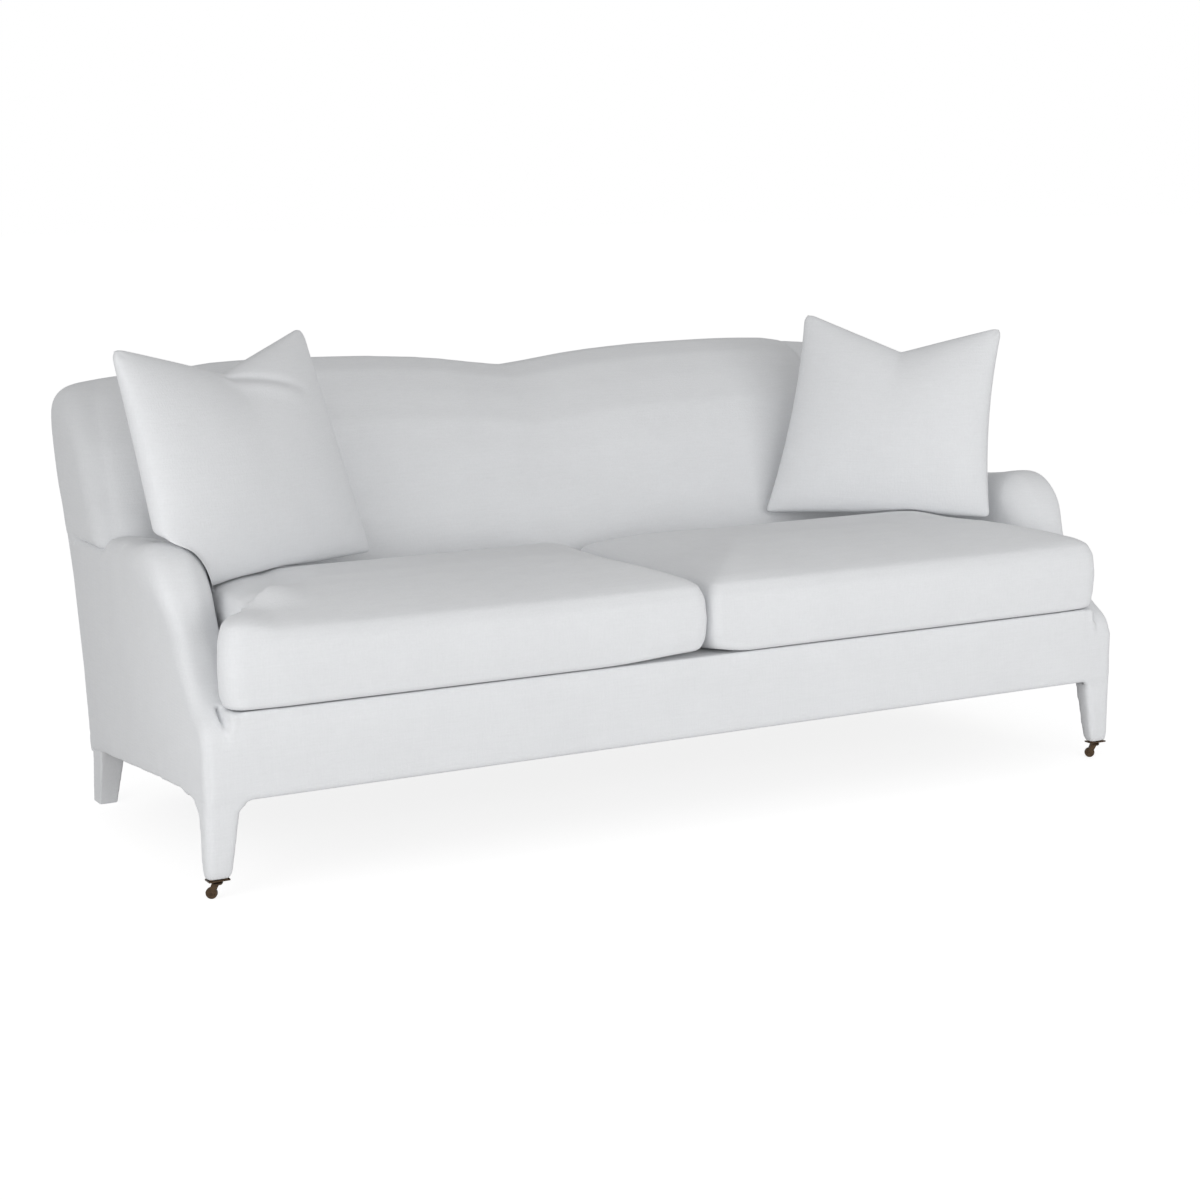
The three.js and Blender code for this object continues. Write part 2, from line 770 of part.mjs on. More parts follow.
function lowerBackRail() {
  const low = railTop + lowerRailRise;
  return rakedSlab(backRailNear, backRailFar, low, low + lowerRailHeight, postInner - seam);
}

function centrePost() {
  const far = backRailNear + postDepth;
  const top = crestNotch - crestPad - seam;
  return rakedSlab(backRailFar + seam, far, railTop + seam, top, centrePostWidth / 2);
}

// Seat: zigzag springs on the rails and a padded deck on the springs
function seatSpring() {
  const start = springInset;
  const end = rearLine(railTop) - skinThickness - springInset;
  const bends = Array.from({ length: springBends + 1 }, (_, i) => [
    (i % 2 ? 1 : -1) * springSwing,
    start + ((end - start) * i) / springBends,
  ]);
  const half = (springWire / 2) * Math.hypot(1, (springSwing * 2 * springBends) / (end - start));
  const near = bends.map(([x, y]) => [x + half, y]);
  const far = bends.map(([x, y]) => [x - half, y]).reverse();
  return prism("z", [...near, ...far], railTop + seam, railTop + seam + springWire);
}

function deckPad() {
  const rear = faceFoot - wingTurn - seam;
  const low = railTop + springWire + seam * 2;
  const box = block([-frontWidth, seam, low], [frontWidth, rear, deckTop]);
  return keep(box, insidePlan(armThickness + seam, 0, deckTop + overrun));
}

function dustCover() {
  const lift = railLift - seam;
  const mid = midUndersideShare * baseDepth;
  const y0 = seam * 4;
  const y1 = rearLine(rearUnderside) - skinThickness - seam * 4;
  const table = [y0, mid, y1].map((y) => [y, underside(y) + lift]);
  const under = table.map(([y, z]) => [y, z - cambricThickness]).reverse();
  const sheet = prism("x", [...table, ...under], -frontWidth, frontWidth);
  const leg = seam + legBlock + seam * 2;
  const post = postFront(rearUnderside) - seam * 2 - postDepth / 3;
  const wide = (y) => halfWidth(y) - skinThickness - railThickness / 2;
  const a = legCoreInner - legCover * 2;
  const b = postInner - legCover * 2;
  const right = [[a, y0], [a, leg], [wide(leg), leg], [wide(post), post], [b, post], [b, y1]];
  const left = right.map(([x, y]) => [-x, y]).reverse();
  return keep(sheet, prism("z", [...right, ...left], 0, railTop));
}

const seatBase = baseTop + cushionLift;

// Seat cushion: plan outline with an ear in front of the arm, rings drawn towards a spine
const cushionRear = faceFoot - cushionBackGap;

function cushionOutline() {
  const x0 = cushionGap / 2;
  const side = (y) => halfWidth(y) - armThickness - cushionArmGap;
  const ear = halfWidth(0) - cushionEarInset;
  const y0 = -cushionOverhang;
  const y1 = cushionRear;
  const c = cushionCorner;
  const shape = new THREE.Shape();
  shape.moveTo(x0 + c, y0);
  shape.bezierCurveTo(side(0) / 2, y0 - cushionPull / 2, side(0), y0, side(0) + c, y0 + c / 3);
  shape.quadraticCurveTo(ear, y0 + c / 2, ear, cushionEarFront + c / 3);
  shape.quadraticCurveTo(ear, cushionEarRear, ear - c, cushionEarRear);
  shape.quadraticCurveTo(side(c), cushionEarRear, side(cushionEarRear), cushionEarRear + c);
  shape.quadraticCurveTo(side(y1 / 2) - cushionPull, y1 / 2, side(y1), y1 - c);
  shape.quadraticCurveTo(side(y1), y1, side(y1) - c, y1);
  shape.quadraticCurveTo(side(y1) / 2, y1 - cushionPull, x0 + c, y1);
  shape.quadraticCurveTo(x0, y1, x0, y1 - c);
  shape.quadraticCurveTo(x0 + cushionPull, y1 / 2, x0, y0 + c);
  shape.quadraticCurveTo(x0, y0, x0 + c, y0);
  return shape.getPoints(5).slice(0, -1);
}

const cushionLowShares = [[0, 0.14], [0.05, 0.07], [0.2, 0.02], [0.5, 0]];
const cushionSideShares = [...cushionLowShares, [0.78, 0.03], [0.93, 0.12], [1, 0.28]];
const cushionCrownShares = [0.14, 0.32, 0.55, 0.8];

function seatCushion() {
  const outline = cushionOutline();
  const side = halfWidth(0) - armThickness;
  const mid = (cushionRear - cushionOverhang) / 2;
  const [spineStart, spineEnd] = cushionSpine.map((share) => share * side);
  const spine = (p) => new THREE.Vector2(THREE.MathUtils.clamp(p.x, spineStart, spineEnd), mid);
  const rake = (y, z) =>
    (cushionRake * Math.max(0, y - mid) * (z - seatBase)) / (cushionRear - mid) / cushionEdge;
  const ringAt = (z, moved) =>
    outline.map((p) => {
      const q = moved(p, spine(p));
      return new THREE.Vector3(q.x, q.y + rake(q.y, z), z);
    });
  const sides = cushionSideShares.map(([rise, drawn]) =>
    ringAt(seatBase + rise * cushionEdge, (p, s) =>
      p.clone().lerp(s, (drawn * cushionEdge) / Math.max(p.distanceTo(s), cushionEdge)),
    ),
  );
  const rim = cushionSideShares[cushionSideShares.length - 1][1] * cushionEdge;
  const crown = cushionCrownShares.map((share) =>
    ringAt(seatBase + cushionEdge + cushionCrown * (1 - (1 - share) ** 2), (p, s) => {
      const reach = Math.max(p.distanceTo(s), cushionEdge);
      return p.clone().lerp(s, rim / reach + (1 - rim / reach) * share);
    }),
  );
  return loft([...sides, ...crown], inPlan);
}

// Throw pillow: two bulging faces sewn along a drawn-in edge, chopped in a V between two ears
const pillowDentFade = 2.5; // how soon the chop runs out below the top edge
const pillowValley = 0.35; // share of the thickness lost under the chop
const pillowValleyWidth = 0.3; // share of the half width
const pillowSag = 0.3; // share of the edge's pull at the bottom edge

function throwPillow({ side, inset, reach, width, top, height, shift, skew, turn, lean }) {
  const steps = pillowSteps;
  const bow = (t) => 1 - t * t;
  const point = (i, j, face) => {
    const u = (i / steps) * 2 - 1;
    const v = j / steps;
    const half = (width + (top - width) * v) / 2 - pillowPull * bow(v * 2 - 1);
    const dent = pillowChop * (1 - Math.abs(u)) * v ** pillowDentFade;
    const valley = pillowValley * v * Math.exp(-((u / pillowValleyWidth) ** 2));
    const fullness = Math.sqrt(bow(u) * bow(v * 2 - 1)) * (1 - valley);
    const thick = pillowEdge + (pillowFull - pillowEdge) * fullness;
    const rise = v * (height - skew * u) - dent + pillowPull * pillowSag * bow(u) * (1 - v);
    return new THREE.Vector3(u * half + shift * v, (face * thick) / 2, rise);
  };
  const ring = (j) => [
    ...Array.from({ length: steps + 1 }, (_, i) => point(i, j, -1)),
    ...Array.from({ length: steps + 1 }, (_, i) => point(steps - i, j, 1)),
  ];
  const rings = Array.from({ length: steps + 1 }, (_, j) => ring(j));
  const { degToRad } = THREE.MathUtils;
  const place = new THREE.Euler(-degToRad(lean), 0, degToRad(turn), "ZXY");
  return loft(rings)
    .applyMatrix4(new THREE.Matrix4().makeRotationFromEuler(place))
    .translate(side * (halfWidth(0) - inset), faceFoot - reach, cushionTop - pillowSink);
}

// Caster, modelled about its swivel axis with the wheel trailing along +X
function turned(points) {
  const outline = points.map(([r, z]) => new THREE.Vector2(r, z));
  return new THREE.LatheGeometry(outline, roundSides).rotateX(Math.PI / 2);
}

const axleHeight = wheelDiameter / 2;
const plateFoot = casterHeight - plateThickness;
const domeTop = plateFoot - seam;
const domeFoot = domeTop - domeHeight;

function casterPlate() {
  const x = plateWidth / 2;
  const y = plateDepth / 2;
  const plate = block([-x, -y, plateFoot], [x, y, casterHeight]);
  const radius = stemDiameter / 2 + casterPlay;
  const hole = new THREE.CylinderGeometry(radius, radius, overrun, roundSides).rotateX(Math.PI / 2);
  return cut(plate, hole.translate(0, 0, casterHeight));
}

function casterFork() {
  const r = domeDiameter / 2;
  const side = domeShares.map(([radius, rise]) => [radius * r, domeFoot + rise * domeHeight]);
  const dome = turned([[0, domeFoot], ...side, [0, domeTop]]);
  const w = cheekWidth / 2;
  const cheek = [
    [casterTrail - w, axleHeight - w],
    [casterTrail + w, axleHeight - w],
    [casterTrail + w, axleHeight + w],
    [r, domeFoot + domeHeight / 2],
    [-w, domeFoot + domeHeight / 2],
  ];
  const inner = wheelWidth / 2 + casterPlay;
  const near = prism("y", cheek, inner, inner + cheekThickness);
  const far = prism("y", cheek, -inner - cheekThickness, -inner);
  const radius = axleDiameter / 2 + seam;
  const hole = new THREE.CylinderGeometry(radius, radius, overrun, roundSides);
  return cut(join(dome, near, far), hole.translate(casterTrail, 0, axleHeight));
}

function casterStem() {
  const r = stemDiameter / 2;
  const top = plateFoot + stemLength;
  return turned([[0, plateFoot], [r, plateFoot], [r, top - r], [r / 2, top], [0, top]]);
}

function casterAxle() {
  const length = wheelWidth + casterPlay * 2 + cheekThickness * 2;
  const r = axleDiameter / 2;
  return new THREE.CylinderGeometry(r, r, length, roundSides).translate(casterTrail, 0, axleHeight);
}

function casterWheel() {
  const r = wheelDiameter / 2;
  const bore = axleDiameter / 2 + seam;
  const w = wheelWidth / 2;
  const f = wheelFace / 2;
  const rim = [[bore, -w], [r - (w - f), -w], [r, -f], [r, f], [r - (w - f), w], [bore, w], [bore, -w]];
  const outline = rim.map(([radius, height]) => new THREE.Vector2(radius, height));
  return new THREE.LatheGeometry(outline, roundSides * 2).translate(casterTrail, 0, axleHeight);
}

// Assembly
add("front_rail", frontRail(), "wood");
addPair("side_rail", sideRail(), "wood");
add("rear_rail", rearRail(), "wood");
add("centre_stretcher", centreStretcher(), "wood");
addPair("front_corner_block", frontBlock(), "wood");
addPair("rear_corner_block", rearBlock(), "wood");
addPair("front_leg", frontLeg(), "wood");
addPair("rear_leg_and_post", rearPost(), "wood");
addPair("arm_post", armPost(0), "wood");
addPair("arm_rail", armRail(0), "wood");
add("back_top_rail", topRail(), "wood");
add("back_lower_rail", lowerBackRail(), "wood");
add("back_centre_post", centrePost(), "wood");

const springSpan = halfWidth(baseDepth) - armThickness - springSwing * 2;
for (let i = 0; i < springCount; i++) {
  const x = -springSpan + (springSpan * 2 * i) / (springCount - 1);
  add("seat_spring_" + (i + 1), seatSpring().translate(x, 0, 0), "steel");
}
add("seat_deck", deckPad(), "linen");
add("dust_cover", dustCover(), "cambric");

add("front_border", frontBorder(), "linen");
addPair("front_leg_cover", frontLegCover(), "linen");
addPair("rear_leg_cover", rearLegCover(), "linen");
addPair("outside_arm", armPanel(0), "linen");
add("outside_back", outsideBack(), "linen");

const back = cut(
  backForm(0),
  backRecess(-overrun, skinThickness + seam * 2, crestRoll),
  backRecess(skinThickness, skinThickness + seam * 2 + postDepth, crestPad),
);
const backReach = [rearReach + overrun, crestHump + overrun];
const centrePiece = block([seam / 2 - backSeam, 0, 0], [backSeam - seam / 2, ...backReach]);
const wingPiece = block([backSeam + seam / 2, 0, 0], [frontWidth, ...backReach]);
add("inside_back", keep(back, centrePiece), "linen");
addPair("inside_back_wing", cut(keep(back, wingPiece), armPanel(seam), armRail(seam)), "linen");
const armRoom = [armPanel(seam), armPost(seam), armRail(seam), backForm(seam)];
addPair("arm_pad", mainBody(cut(armForm(), ...armRoom)), "linen");

const cushion = seatCushion();
addPair("seat_cushion", cushion, "linen");

// A pillow is squashed by the cushion it lies on, and by the arm it leans on and slides along with the cushion
function squashed(pillow, side) {
  const neighbour = (geometry, clearance) =>
    solidOf(geometry).transform(new THREE.Matrix4().makeScale(side, 1, 1).elements).translate(clearance);
  const arm = [0, cushionTravel].map((slide) => neighbour(armForm(), [-side * seam, slide, seam]));
  const room = wasm.Manifold.hull(arm).add(neighbour(cushion, [0, 0, seam]));
  return mainBody(geometryOf(solidOf(pillow).subtract(room)));
}

for (const [name, sizes] of Object.entries(pillows)) {
  add(name, squashed(throwPillow(sizes), sizes.side), "linen");
}

for (const [side, sign] of [["right", 1], ["left", -1]]) {
  const caster = new THREE.Group();
  caster.position.set(sign * stem.x, stem.y, 0);
  const swivel = new THREE.Group();
  swivel.rotation.z = THREE.MathUtils.degToRad(trailTurn);
  caster.add(add("caster_plate_" + side, casterPlate(), "bronze"));
  swivel.add(add("caster_stem_" + side, casterStem(), "bronze"));
  swivel.add(add("caster_fork_" + side, casterFork(), "bronze"));
  swivel.add(add("caster_axle_" + side, casterAxle(), "bronze"));
  swivel.add(add("caster_wheel_" + side, casterWheel(), "bronze"));
  caster.add(swivel);
  sofa.add(caster);
}

// The origin goes to the centre of the footprint, on the floor
const bounds = new THREE.Box3().setFromObject(sofa);
const model = new THREE.Group();
sofa.position.set(-(bounds.min.x + bounds.max.x) / 2, -(bounds.min.y + bounds.max.y) / 2, -bounds.min.z);
model.add(sofa);

export default model;
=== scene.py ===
import math

import bmesh
import bpy
import numpy as np
from bpy.props import FloatProperty, FloatVectorProperty
from mathutils import Matrix, Vector
from mathutils.bvhtree import BVHTree


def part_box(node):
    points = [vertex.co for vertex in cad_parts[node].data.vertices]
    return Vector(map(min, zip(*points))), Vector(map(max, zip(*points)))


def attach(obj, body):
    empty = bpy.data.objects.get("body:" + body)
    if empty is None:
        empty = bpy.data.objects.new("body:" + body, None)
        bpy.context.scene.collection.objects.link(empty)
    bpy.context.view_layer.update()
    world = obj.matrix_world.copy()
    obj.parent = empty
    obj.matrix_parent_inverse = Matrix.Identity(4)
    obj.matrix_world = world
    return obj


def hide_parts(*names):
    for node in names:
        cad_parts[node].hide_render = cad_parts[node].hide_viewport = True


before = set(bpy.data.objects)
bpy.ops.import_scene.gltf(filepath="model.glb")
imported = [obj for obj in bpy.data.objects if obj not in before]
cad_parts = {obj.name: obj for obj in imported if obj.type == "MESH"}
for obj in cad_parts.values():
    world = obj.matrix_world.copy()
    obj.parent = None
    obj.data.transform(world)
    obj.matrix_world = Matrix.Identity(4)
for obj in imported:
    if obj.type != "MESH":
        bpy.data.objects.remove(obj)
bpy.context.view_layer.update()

bl_info = {
    "name": "Camelback sofa",
    "version": (1, 0, 0),
    "blender": (4, 5, 0),
    "location": "3D View > Sidebar > Sofa",
    "description": "Dresses the frame of the sofa in padded linen, loose cushions and bronze casters",
    "category": "Add Mesh",
}

SIDES = {"left": -1.0, "right": 1.0}

# Sizes and colours that a user would change


def length_setting(name, description, default):
    """A length in metres"""
    settings = {"subtype": "DISTANCE", "unit": "LENGTH", "default": default}
    return FloatProperty(name=name, description=description, **settings)


def place_setting(name, description, default):
    """A place in metres"""
    settings = {"subtype": "TRANSLATION", "unit": "LENGTH", "size": 3, "default": default}
    return FloatVectorProperty(name=name, description=description, **settings)


def angle_setting(name, description, degrees):
    """An angle"""
    settings = {"subtype": "ANGLE", "unit": "ROTATION", "default": math.radians(degrees)}
    return FloatProperty(name=name, description=description, **settings)


def strength_setting(name, description, default, unit="NONE"):
    """The strength or power of a light"""
    return FloatProperty(name=name, description=description, unit=unit, min=0, default=default)


def colour_setting(name, description, default):
    """A colour without alpha"""
    settings = {"subtype": "COLOR", "size": 3, "min": 0, "max": 1, "default": default}
    return FloatVectorProperty(name=name, description=description, **settings)


class SofaCloth(bpy.types.PropertyGroup):
    """Colours and weave of the fabrics"""

    linen: colour_setting("Linen", "Colour of the linen cover", (0.80, 0.81, 0.825))
    cambric: colour_setting("Dust cover", "Colour of the cloth under the seat", (0.035, 0.035, 0.038))
    thread: length_setting("Thread width", "Width of one thread of the linen", 0.0014)
    relief: length_setting("Thread relief", "How far the threads stand out of the cloth", 0.0009)
    mottle: FloatProperty(
        name="Mottle",
        description="How much the thicker threads change the linen's colour",
        subtype="FACTOR",
        min=0,
        max=1,
        default=0.1,
    )


class SofaPadding(bpy.types.PropertyGroup):
    """Sizes of the padded pieces"""

    cushion_face: length_setting("Cushion face size", "Edge of one face in a cushion's mesh", 0.006)
    cushion_pinch: length_setting(
        "Cushion corner lift", "How far the cushions' inner bottom corners lift off the base", 0.013
    )
    back_face: length_setting("Back face size", "Edge of one face in the mesh of the back", 0.007)
    cover_face: length_setting(
        "Cover face size", "Edge of one face in the mesh of the arms and the base cover", 0.0045
    )
    batting: length_setting("Batting", "How far the padding puffs the outer sides of the cover", 0.003)
    arm_roll: length_setting("Arm roll", "How far the roll stands out over the outside of the arm", 0.022)
    arm_rise: length_setting("Arm rise", "How far the rear of the arms is raised towards the wings", 0.033)
    arm_width: length_setting("Arm width", "Width of the arms across the top", 0.102)
    wing_round: length_setting("Wing rounding", "Size of the wings' rounded front edges", 0.055)
    crease: length_setting("Crease", "Depth of the crease between the back and its wings", 0.008)


class SofaStage(bpy.types.PropertyGroup):
    """Camera and light"""

    key: strength_setting("Key light", "Power of the wide soft light in front", 36.0, "POWER")
    key_place: place_setting(
        "Key light place", "Where the middle of the soft light in front is", (0.5, -3.4, 1.0)
    )
    fill: strength_setting("Fill light", "Power of the soft light on the left", 3.5, "POWER")
    fill_place: place_setting(
        "Fill light place", "Where the middle of the soft light on the left is", (-1.95, -0.85, 0.75)
    )
    rear: strength_setting("Rear light", "Strength of the soft light from behind", 0.2)
    left: strength_setting("Left light", "Strength of the low light from the front left", 0.82)
    sky: strength_setting("Sky", "Strength of the even light from all sides", 0.37)
    camera_place: place_setting("Camera place", "Where the camera stands", (-2.4558, -4.42986, 1.288))
    camera_lens: FloatProperty(
        name="Lens",
        description="Focal length on a sensor 36 mm wide",
        unit="CAMERA",
        default=70.33,
    )
    camera_yaw: angle_setting("Camera yaw", "Turn of the view from +Y towards +X", 29.265)
    camera_pitch: angle_setting("Camera pitch", "Tilt of the view above the horizon", -10.076)
    camera_roll: angle_setting("Camera roll", "Turn of the picture about the view", -0.458)


# Materials


class Number:
    """A number socket in a Python expression, where each operator adds its Math node"""

    def __init__(self, shader, socket):
        self.shader = shader
        self.socket = socket

    def _math(self, operation, first, second):
        node = self.shader.node(
            "ShaderNodeMath", {"operation": operation}, {0: first, 1: second}
        )
        return Number(self.shader, node.outputs[0])

    def __add__(self, other):
        return self._math("ADD", self, other)

    __radd__ = __add__

    def __mul__(self, other):
        return self._math("MULTIPLY", self, other)

    __rmul__ = __mul__

    def __truediv__(self, other):
        return self._math("DIVIDE", self, other)

    def __rtruediv__(self, other):
        return self._math("DIVIDE", other, self)


class Shader:
    """The nodes of a material or of the world, added one by one"""

    def __init__(self, owner):
        self.owner = owner
        owner.use_nodes = True
        self.tree = owner.node_tree
        self.tree.nodes.clear()

    def node(self, kind, settings=None, sockets=None):
        """A node of this type, with its settings, and the values or links of its sockets"""
        made = self.tree.nodes.new(kind)
        for key, value in (settings or {}).items():
            setattr(made, key, value)
        for key, value in (sockets or {}).items():
            source = getattr(value, "socket", value)
            if isinstance(source, bpy.types.NodeSocket):
                self.tree.links.new(source, made.inputs[key])
            else:
                made.inputs[key].default_value = source
        return made

    def noise(self, waves, detail=2.0, roughness=0.5):
        """Noise on the piece's own coordinates, with so many waves to the metre along X, Y and Z"""
        place = self.node("ShaderNodeTexCoord").outputs["Object"]
        scaled = self.node(
            "ShaderNodeVectorMath", {"operation": "MULTIPLY"}, {0: place, 1: waves}
        )
        sockets = {
            "Vector": scaled.outputs[0],
            "Scale": 1.0,
            "Detail": detail,
            "Roughness": roughness,
        }
        return Number(self, self.node("ShaderNodeTexNoise", {}, sockets).outputs["Fac"])

    def mix(self, share, first, second):
        """A colour between two colours"""
        node = self.node(
            "ShaderNodeMix",
            {"data_type": "RGBA"},
            {"Factor": share, 6: first, 7: second},
        )
        return node.outputs[2]

    def bump(self, height, distance):
        """The normal of a surface with this relief"""
        node = self.node(
            "ShaderNodeBump", {}, {"Height": height, "Strength": 1.0, "Distance": distance}
        )
        return node.outputs["Normal"]

    def surface(self, **sockets):
        """The owner, with a Principled shader with these sockets as its surface"""
        named = {key.replace("_", " "): value for key, value in sockets.items()}
        shader = self.node("ShaderNodeBsdfPrincipled", {}, named)
        self.output(shader.outputs["BSDF"])
        return self.owner

    def output(self, surface, kind="ShaderNodeOutputMaterial"):
        self.node(kind, {}, {"Surface": surface})


def rgba(colour, factor=1.0):
    """A colour with its alpha, made darker or lighter"""
    return (*(min(1.0, c * factor) for c in colour), 1.0)


def linen(material):
    """White linen with thick and thin threads both ways"""
    cloth = bpy.context.scene.sofa_cloth
    shader = Shader(material)
    fine = 0.5 / cloth.thread
    slub = fine / 14
    knot = fine * 0.7
    patch = 9.0
    weft = shader.noise((slub, slub, fine))
    warp = shader.noise((fine, fine, slub))
    knots = shader.noise((knot, knot, knot))
    threads = (weft + warp + knots) / 3
    patches = shader.noise((patch, patch, patch))
    dark, light = (rgba(cloth.linen, 1 + sign * cloth.mottle) for sign in (-1, 1))
    return shader.surface(
        Base_Color=shader.mix(threads * 0.75 + patches * 0.25, dark, light),
        Roughness=0.92,
        Normal=shader.bump(threads, cloth.relief),
        Specular_IOR_Level=0.2,
        Sheen_Weight=0.12,
        Sheen_Roughness=0.6,
    )


def cambric(material):
    """Thin black cloth"""
    colour = bpy.context.scene.sofa_cloth.cambric
    shader = Shader(material)
    thread = 900.0
    grain = shader.noise((thread, thread, thread))
    return shader.surface(
        Base_Color=shader.mix(grain, rgba(colour, 0.7), rgba(colour, 1.5)),
        Roughness=0.95,
        Normal=shader.bump(grain, distance=0.0004),
    )


def frame_wood(material):
    """Planed hardwood of the hidden frame"""
    shader = Shader(material)
    along, across = 9.0, 60.0
    dark, light = (0.34, 0.2, 0.1), (0.62, 0.44, 0.26)
    grain = shader.noise((along, across, across), detail=4.0, roughness=0.6)
    return shader.surface(
        Base_Color=shader.mix(grain, rgba(dark), rgba(light)),
        Roughness=0.55,
        Normal=shader.bump(grain, distance=0.0003),
    )


def spring_steel(material):
    """Drawn steel wire"""
    shader = Shader(material)
    across, along = 200.0, 30.0
    dark, light = (0.36, 0.36, 0.37), (0.5, 0.5, 0.5)
    grain = shader.noise((across, along, across))
    return shader.surface(
        Base_Color=shader.mix(grain, rgba(dark), rgba(light)),
        Metallic=1.0,
        Roughness=grain * 0.2 + 0.25,
    )


def bronze(material):
    """Dark cast bronze, worn a little brighter in patches"""
    shader = Shader(material)
    patch = 160.0
    dark, light = (0.024, 0.015, 0.01), (0.12, 0.08, 0.048)
    worn = shader.noise((patch, patch, patch), detail=3.0)
    return shader.surface(
        Base_Color=shader.mix(worn, rgba(dark), rgba(light)),
        Metallic=0.9,
        Roughness=worn * 0.25 + 0.28,
        Normal=shader.bump(worn, distance=0.0003),
    )


MADE = {}


def finished(finish):
    """The material that a finish gives, made once"""
    name = finish.__name__
    if name not in MADE:
        MADE[name] = finish(bpy.data.materials.new(name))
    return MADE[name]


# Meshes


def linked(name, mesh):
    """A mesh as an object of the scene"""
    piece = bpy.data.objects.new(name, mesh)
    bpy.context.scene.collection.objects.link(piece)
    return piece


def baked(piece):
    """Puts what the piece's modifiers make into its own mesh"""
    graph = bpy.context.evaluated_depsgraph_get()
    mesh = bpy.data.meshes.new_from_object(piece.evaluated_get(graph))
    piece.modifiers.clear()
    old = piece.data
    piece.data = mesh
    bpy.data.meshes.remove(old)
    return piece


def copied(nodes, above=None, below=None, behind=None):
    """The named solids in one bmesh, each cut off at a height or a depth if one is given"""
    form = bmesh.new()
    for node in nodes:
        form.from_mesh(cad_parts[node].data)
    bmesh.ops.remove_doubles(form, verts=form.verts, dist=1e-6)
    for cut, kept in ((above, (0, 0, 1)), (below, (0, 0, -1)), (behind, (0, 1, 0))):
        if cut is None:
            continue
        bmesh.ops.bisect_plane(
            form,
            geom=[*form.verts, *form.edges, *form.faces],
            plane_co=(0, cut, cut),
            plane_no=kept,
            clear_inner=True,
        )
        open_edges = [edge for edge in form.edges if edge.is_boundary]
        bmesh.ops.holes_fill(form, edges=open_edges)
    return form


def block(low, high):
    """A box between two corners"""
    form = bmesh.new()
    low, high = Vector(low), Vector(high)
    bmesh.ops.create_cube(form, size=1.0)
    bmesh.ops.scale(form, vec=high - low, verts=form.verts)
    bmesh.ops.translate(form, vec=(high + low) / 2, verts=form.verts)
    return form


def even_skin(name, forms, face, rounds):
    """Solids as one skin of small even faces, rounded by smoothing"""
    mesh = bpy.data.meshes.new(name)
    whole = bmesh.new()
    for form in forms:
        part = bpy.data.meshes.new(name)
        form.to_mesh(part)
        form.free()
        whole.from_mesh(part)
        bpy.data.meshes.remove(part)
    whole.to_mesh(mesh)
    whole.free()
    piece = linked(name, mesh)
    remesh = piece.modifiers.new("even faces", "REMESH")
    remesh.mode = "VOXEL"
    remesh.voxel_size = face
    return eased(piece, rounds)


def eased(piece, rounds, share=None):
    """The piece with its edges rounded by smoothing, by a share for each point if given"""
    ease = piece.modifiers.new("round edges", "SMOOTH")
    ease.factor = 0.5
    ease.iterations = rounds
    if share is not None:
        group = piece.vertex_groups.new(name="share")
        steps = 10
        for step in range(1, steps + 1):
            chosen = np.flatnonzero(np.round(share * steps) == step)
            group.add(chosen.tolist(), step / steps, "REPLACE")
        ease.vertex_group = group.name
    baked(piece)
    piece.vertex_groups.clear()
    return piece


def points_of(piece):
    points = np.empty(len(piece.data.vertices) * 3)
    piece.data.vertices.foreach_get("co", points)
    return points.reshape(-1, 3)


def normals_of(piece):
    normals = np.empty(len(piece.data.vertices) * 3)
    piece.data.vertices.foreach_get("normal", normals)
    return normals.reshape(-1, 3)


def move_points(piece, points):
    piece.data.vertices.foreach_set("co", points.ravel())
    piece.data.update()


def ease_in(value, span, base=0.0):
    """0 before the span, 1 after it, and smooth between. The span is counted from the base."""
    start, end = base + span[0], base + span[1]
    share = np.clip((value - start) / (end - start), 0, 1)
    return share * share * (3 - 2 * share)


def fade_out(value, span, base=0.0):
    """1 before the span, 0 after it, and smooth between"""
    return 1 - ease_in(value, span, base)


def bell(value, middle, width):
    """1 at the middle, and down to 0 on both sides"""
    return np.exp(-(((value - middle) / width) ** 2))


def turned_corner(u, v, reach_u, reach_v):
    """Shifts that bring a square corner, u and v from its two sides, onto a quarter ellipse"""
    a = np.clip(1 - u / reach_u, 0, 1)
    b = np.clip(1 - v / reach_v, 0, 1)
    size = np.maximum(a, b) / np.maximum(np.hypot(a, b), 1e-9)
    share = np.where((a > 0) & (b > 0), 1 - size, 0)
    return reach_u * a * share, reach_v * b * share


def side_line(y):
    """Half the sofa's width at depth y, which comes in towards the rear"""
    low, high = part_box("outside_arm_right")
    taper = 0.0351
    return high[0] - taper * (y - low[1])


def front_line(points, chosen, step=0.006):
    """How far forward the chosen points reach at the height of each point"""
    z = points[:, 2]
    rows = ((z - z.min()) / step).astype(int)
    reach = np.full(rows.max() + 1, np.inf)
    np.minimum.at(reach, rows[chosen], points[chosen, 1])
    heights = z.min() + step * (np.arange(len(reach)) + 0.5)
    known = np.isfinite(reach)
    return np.interp(z, heights[known], reach[known])


def finish_soft(piece, body, nodes):
    """Smooth shading, linen, the body it rides and the solids it stands for"""
    piece.data.polygons.foreach_set("use_smooth", [True] * len(piece.data.polygons))
    piece.data.update()
    piece.data.materials.clear()
    piece.data.materials.append(finished(linen))
    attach(piece, body)
    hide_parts(*nodes)
    return piece


# Operators


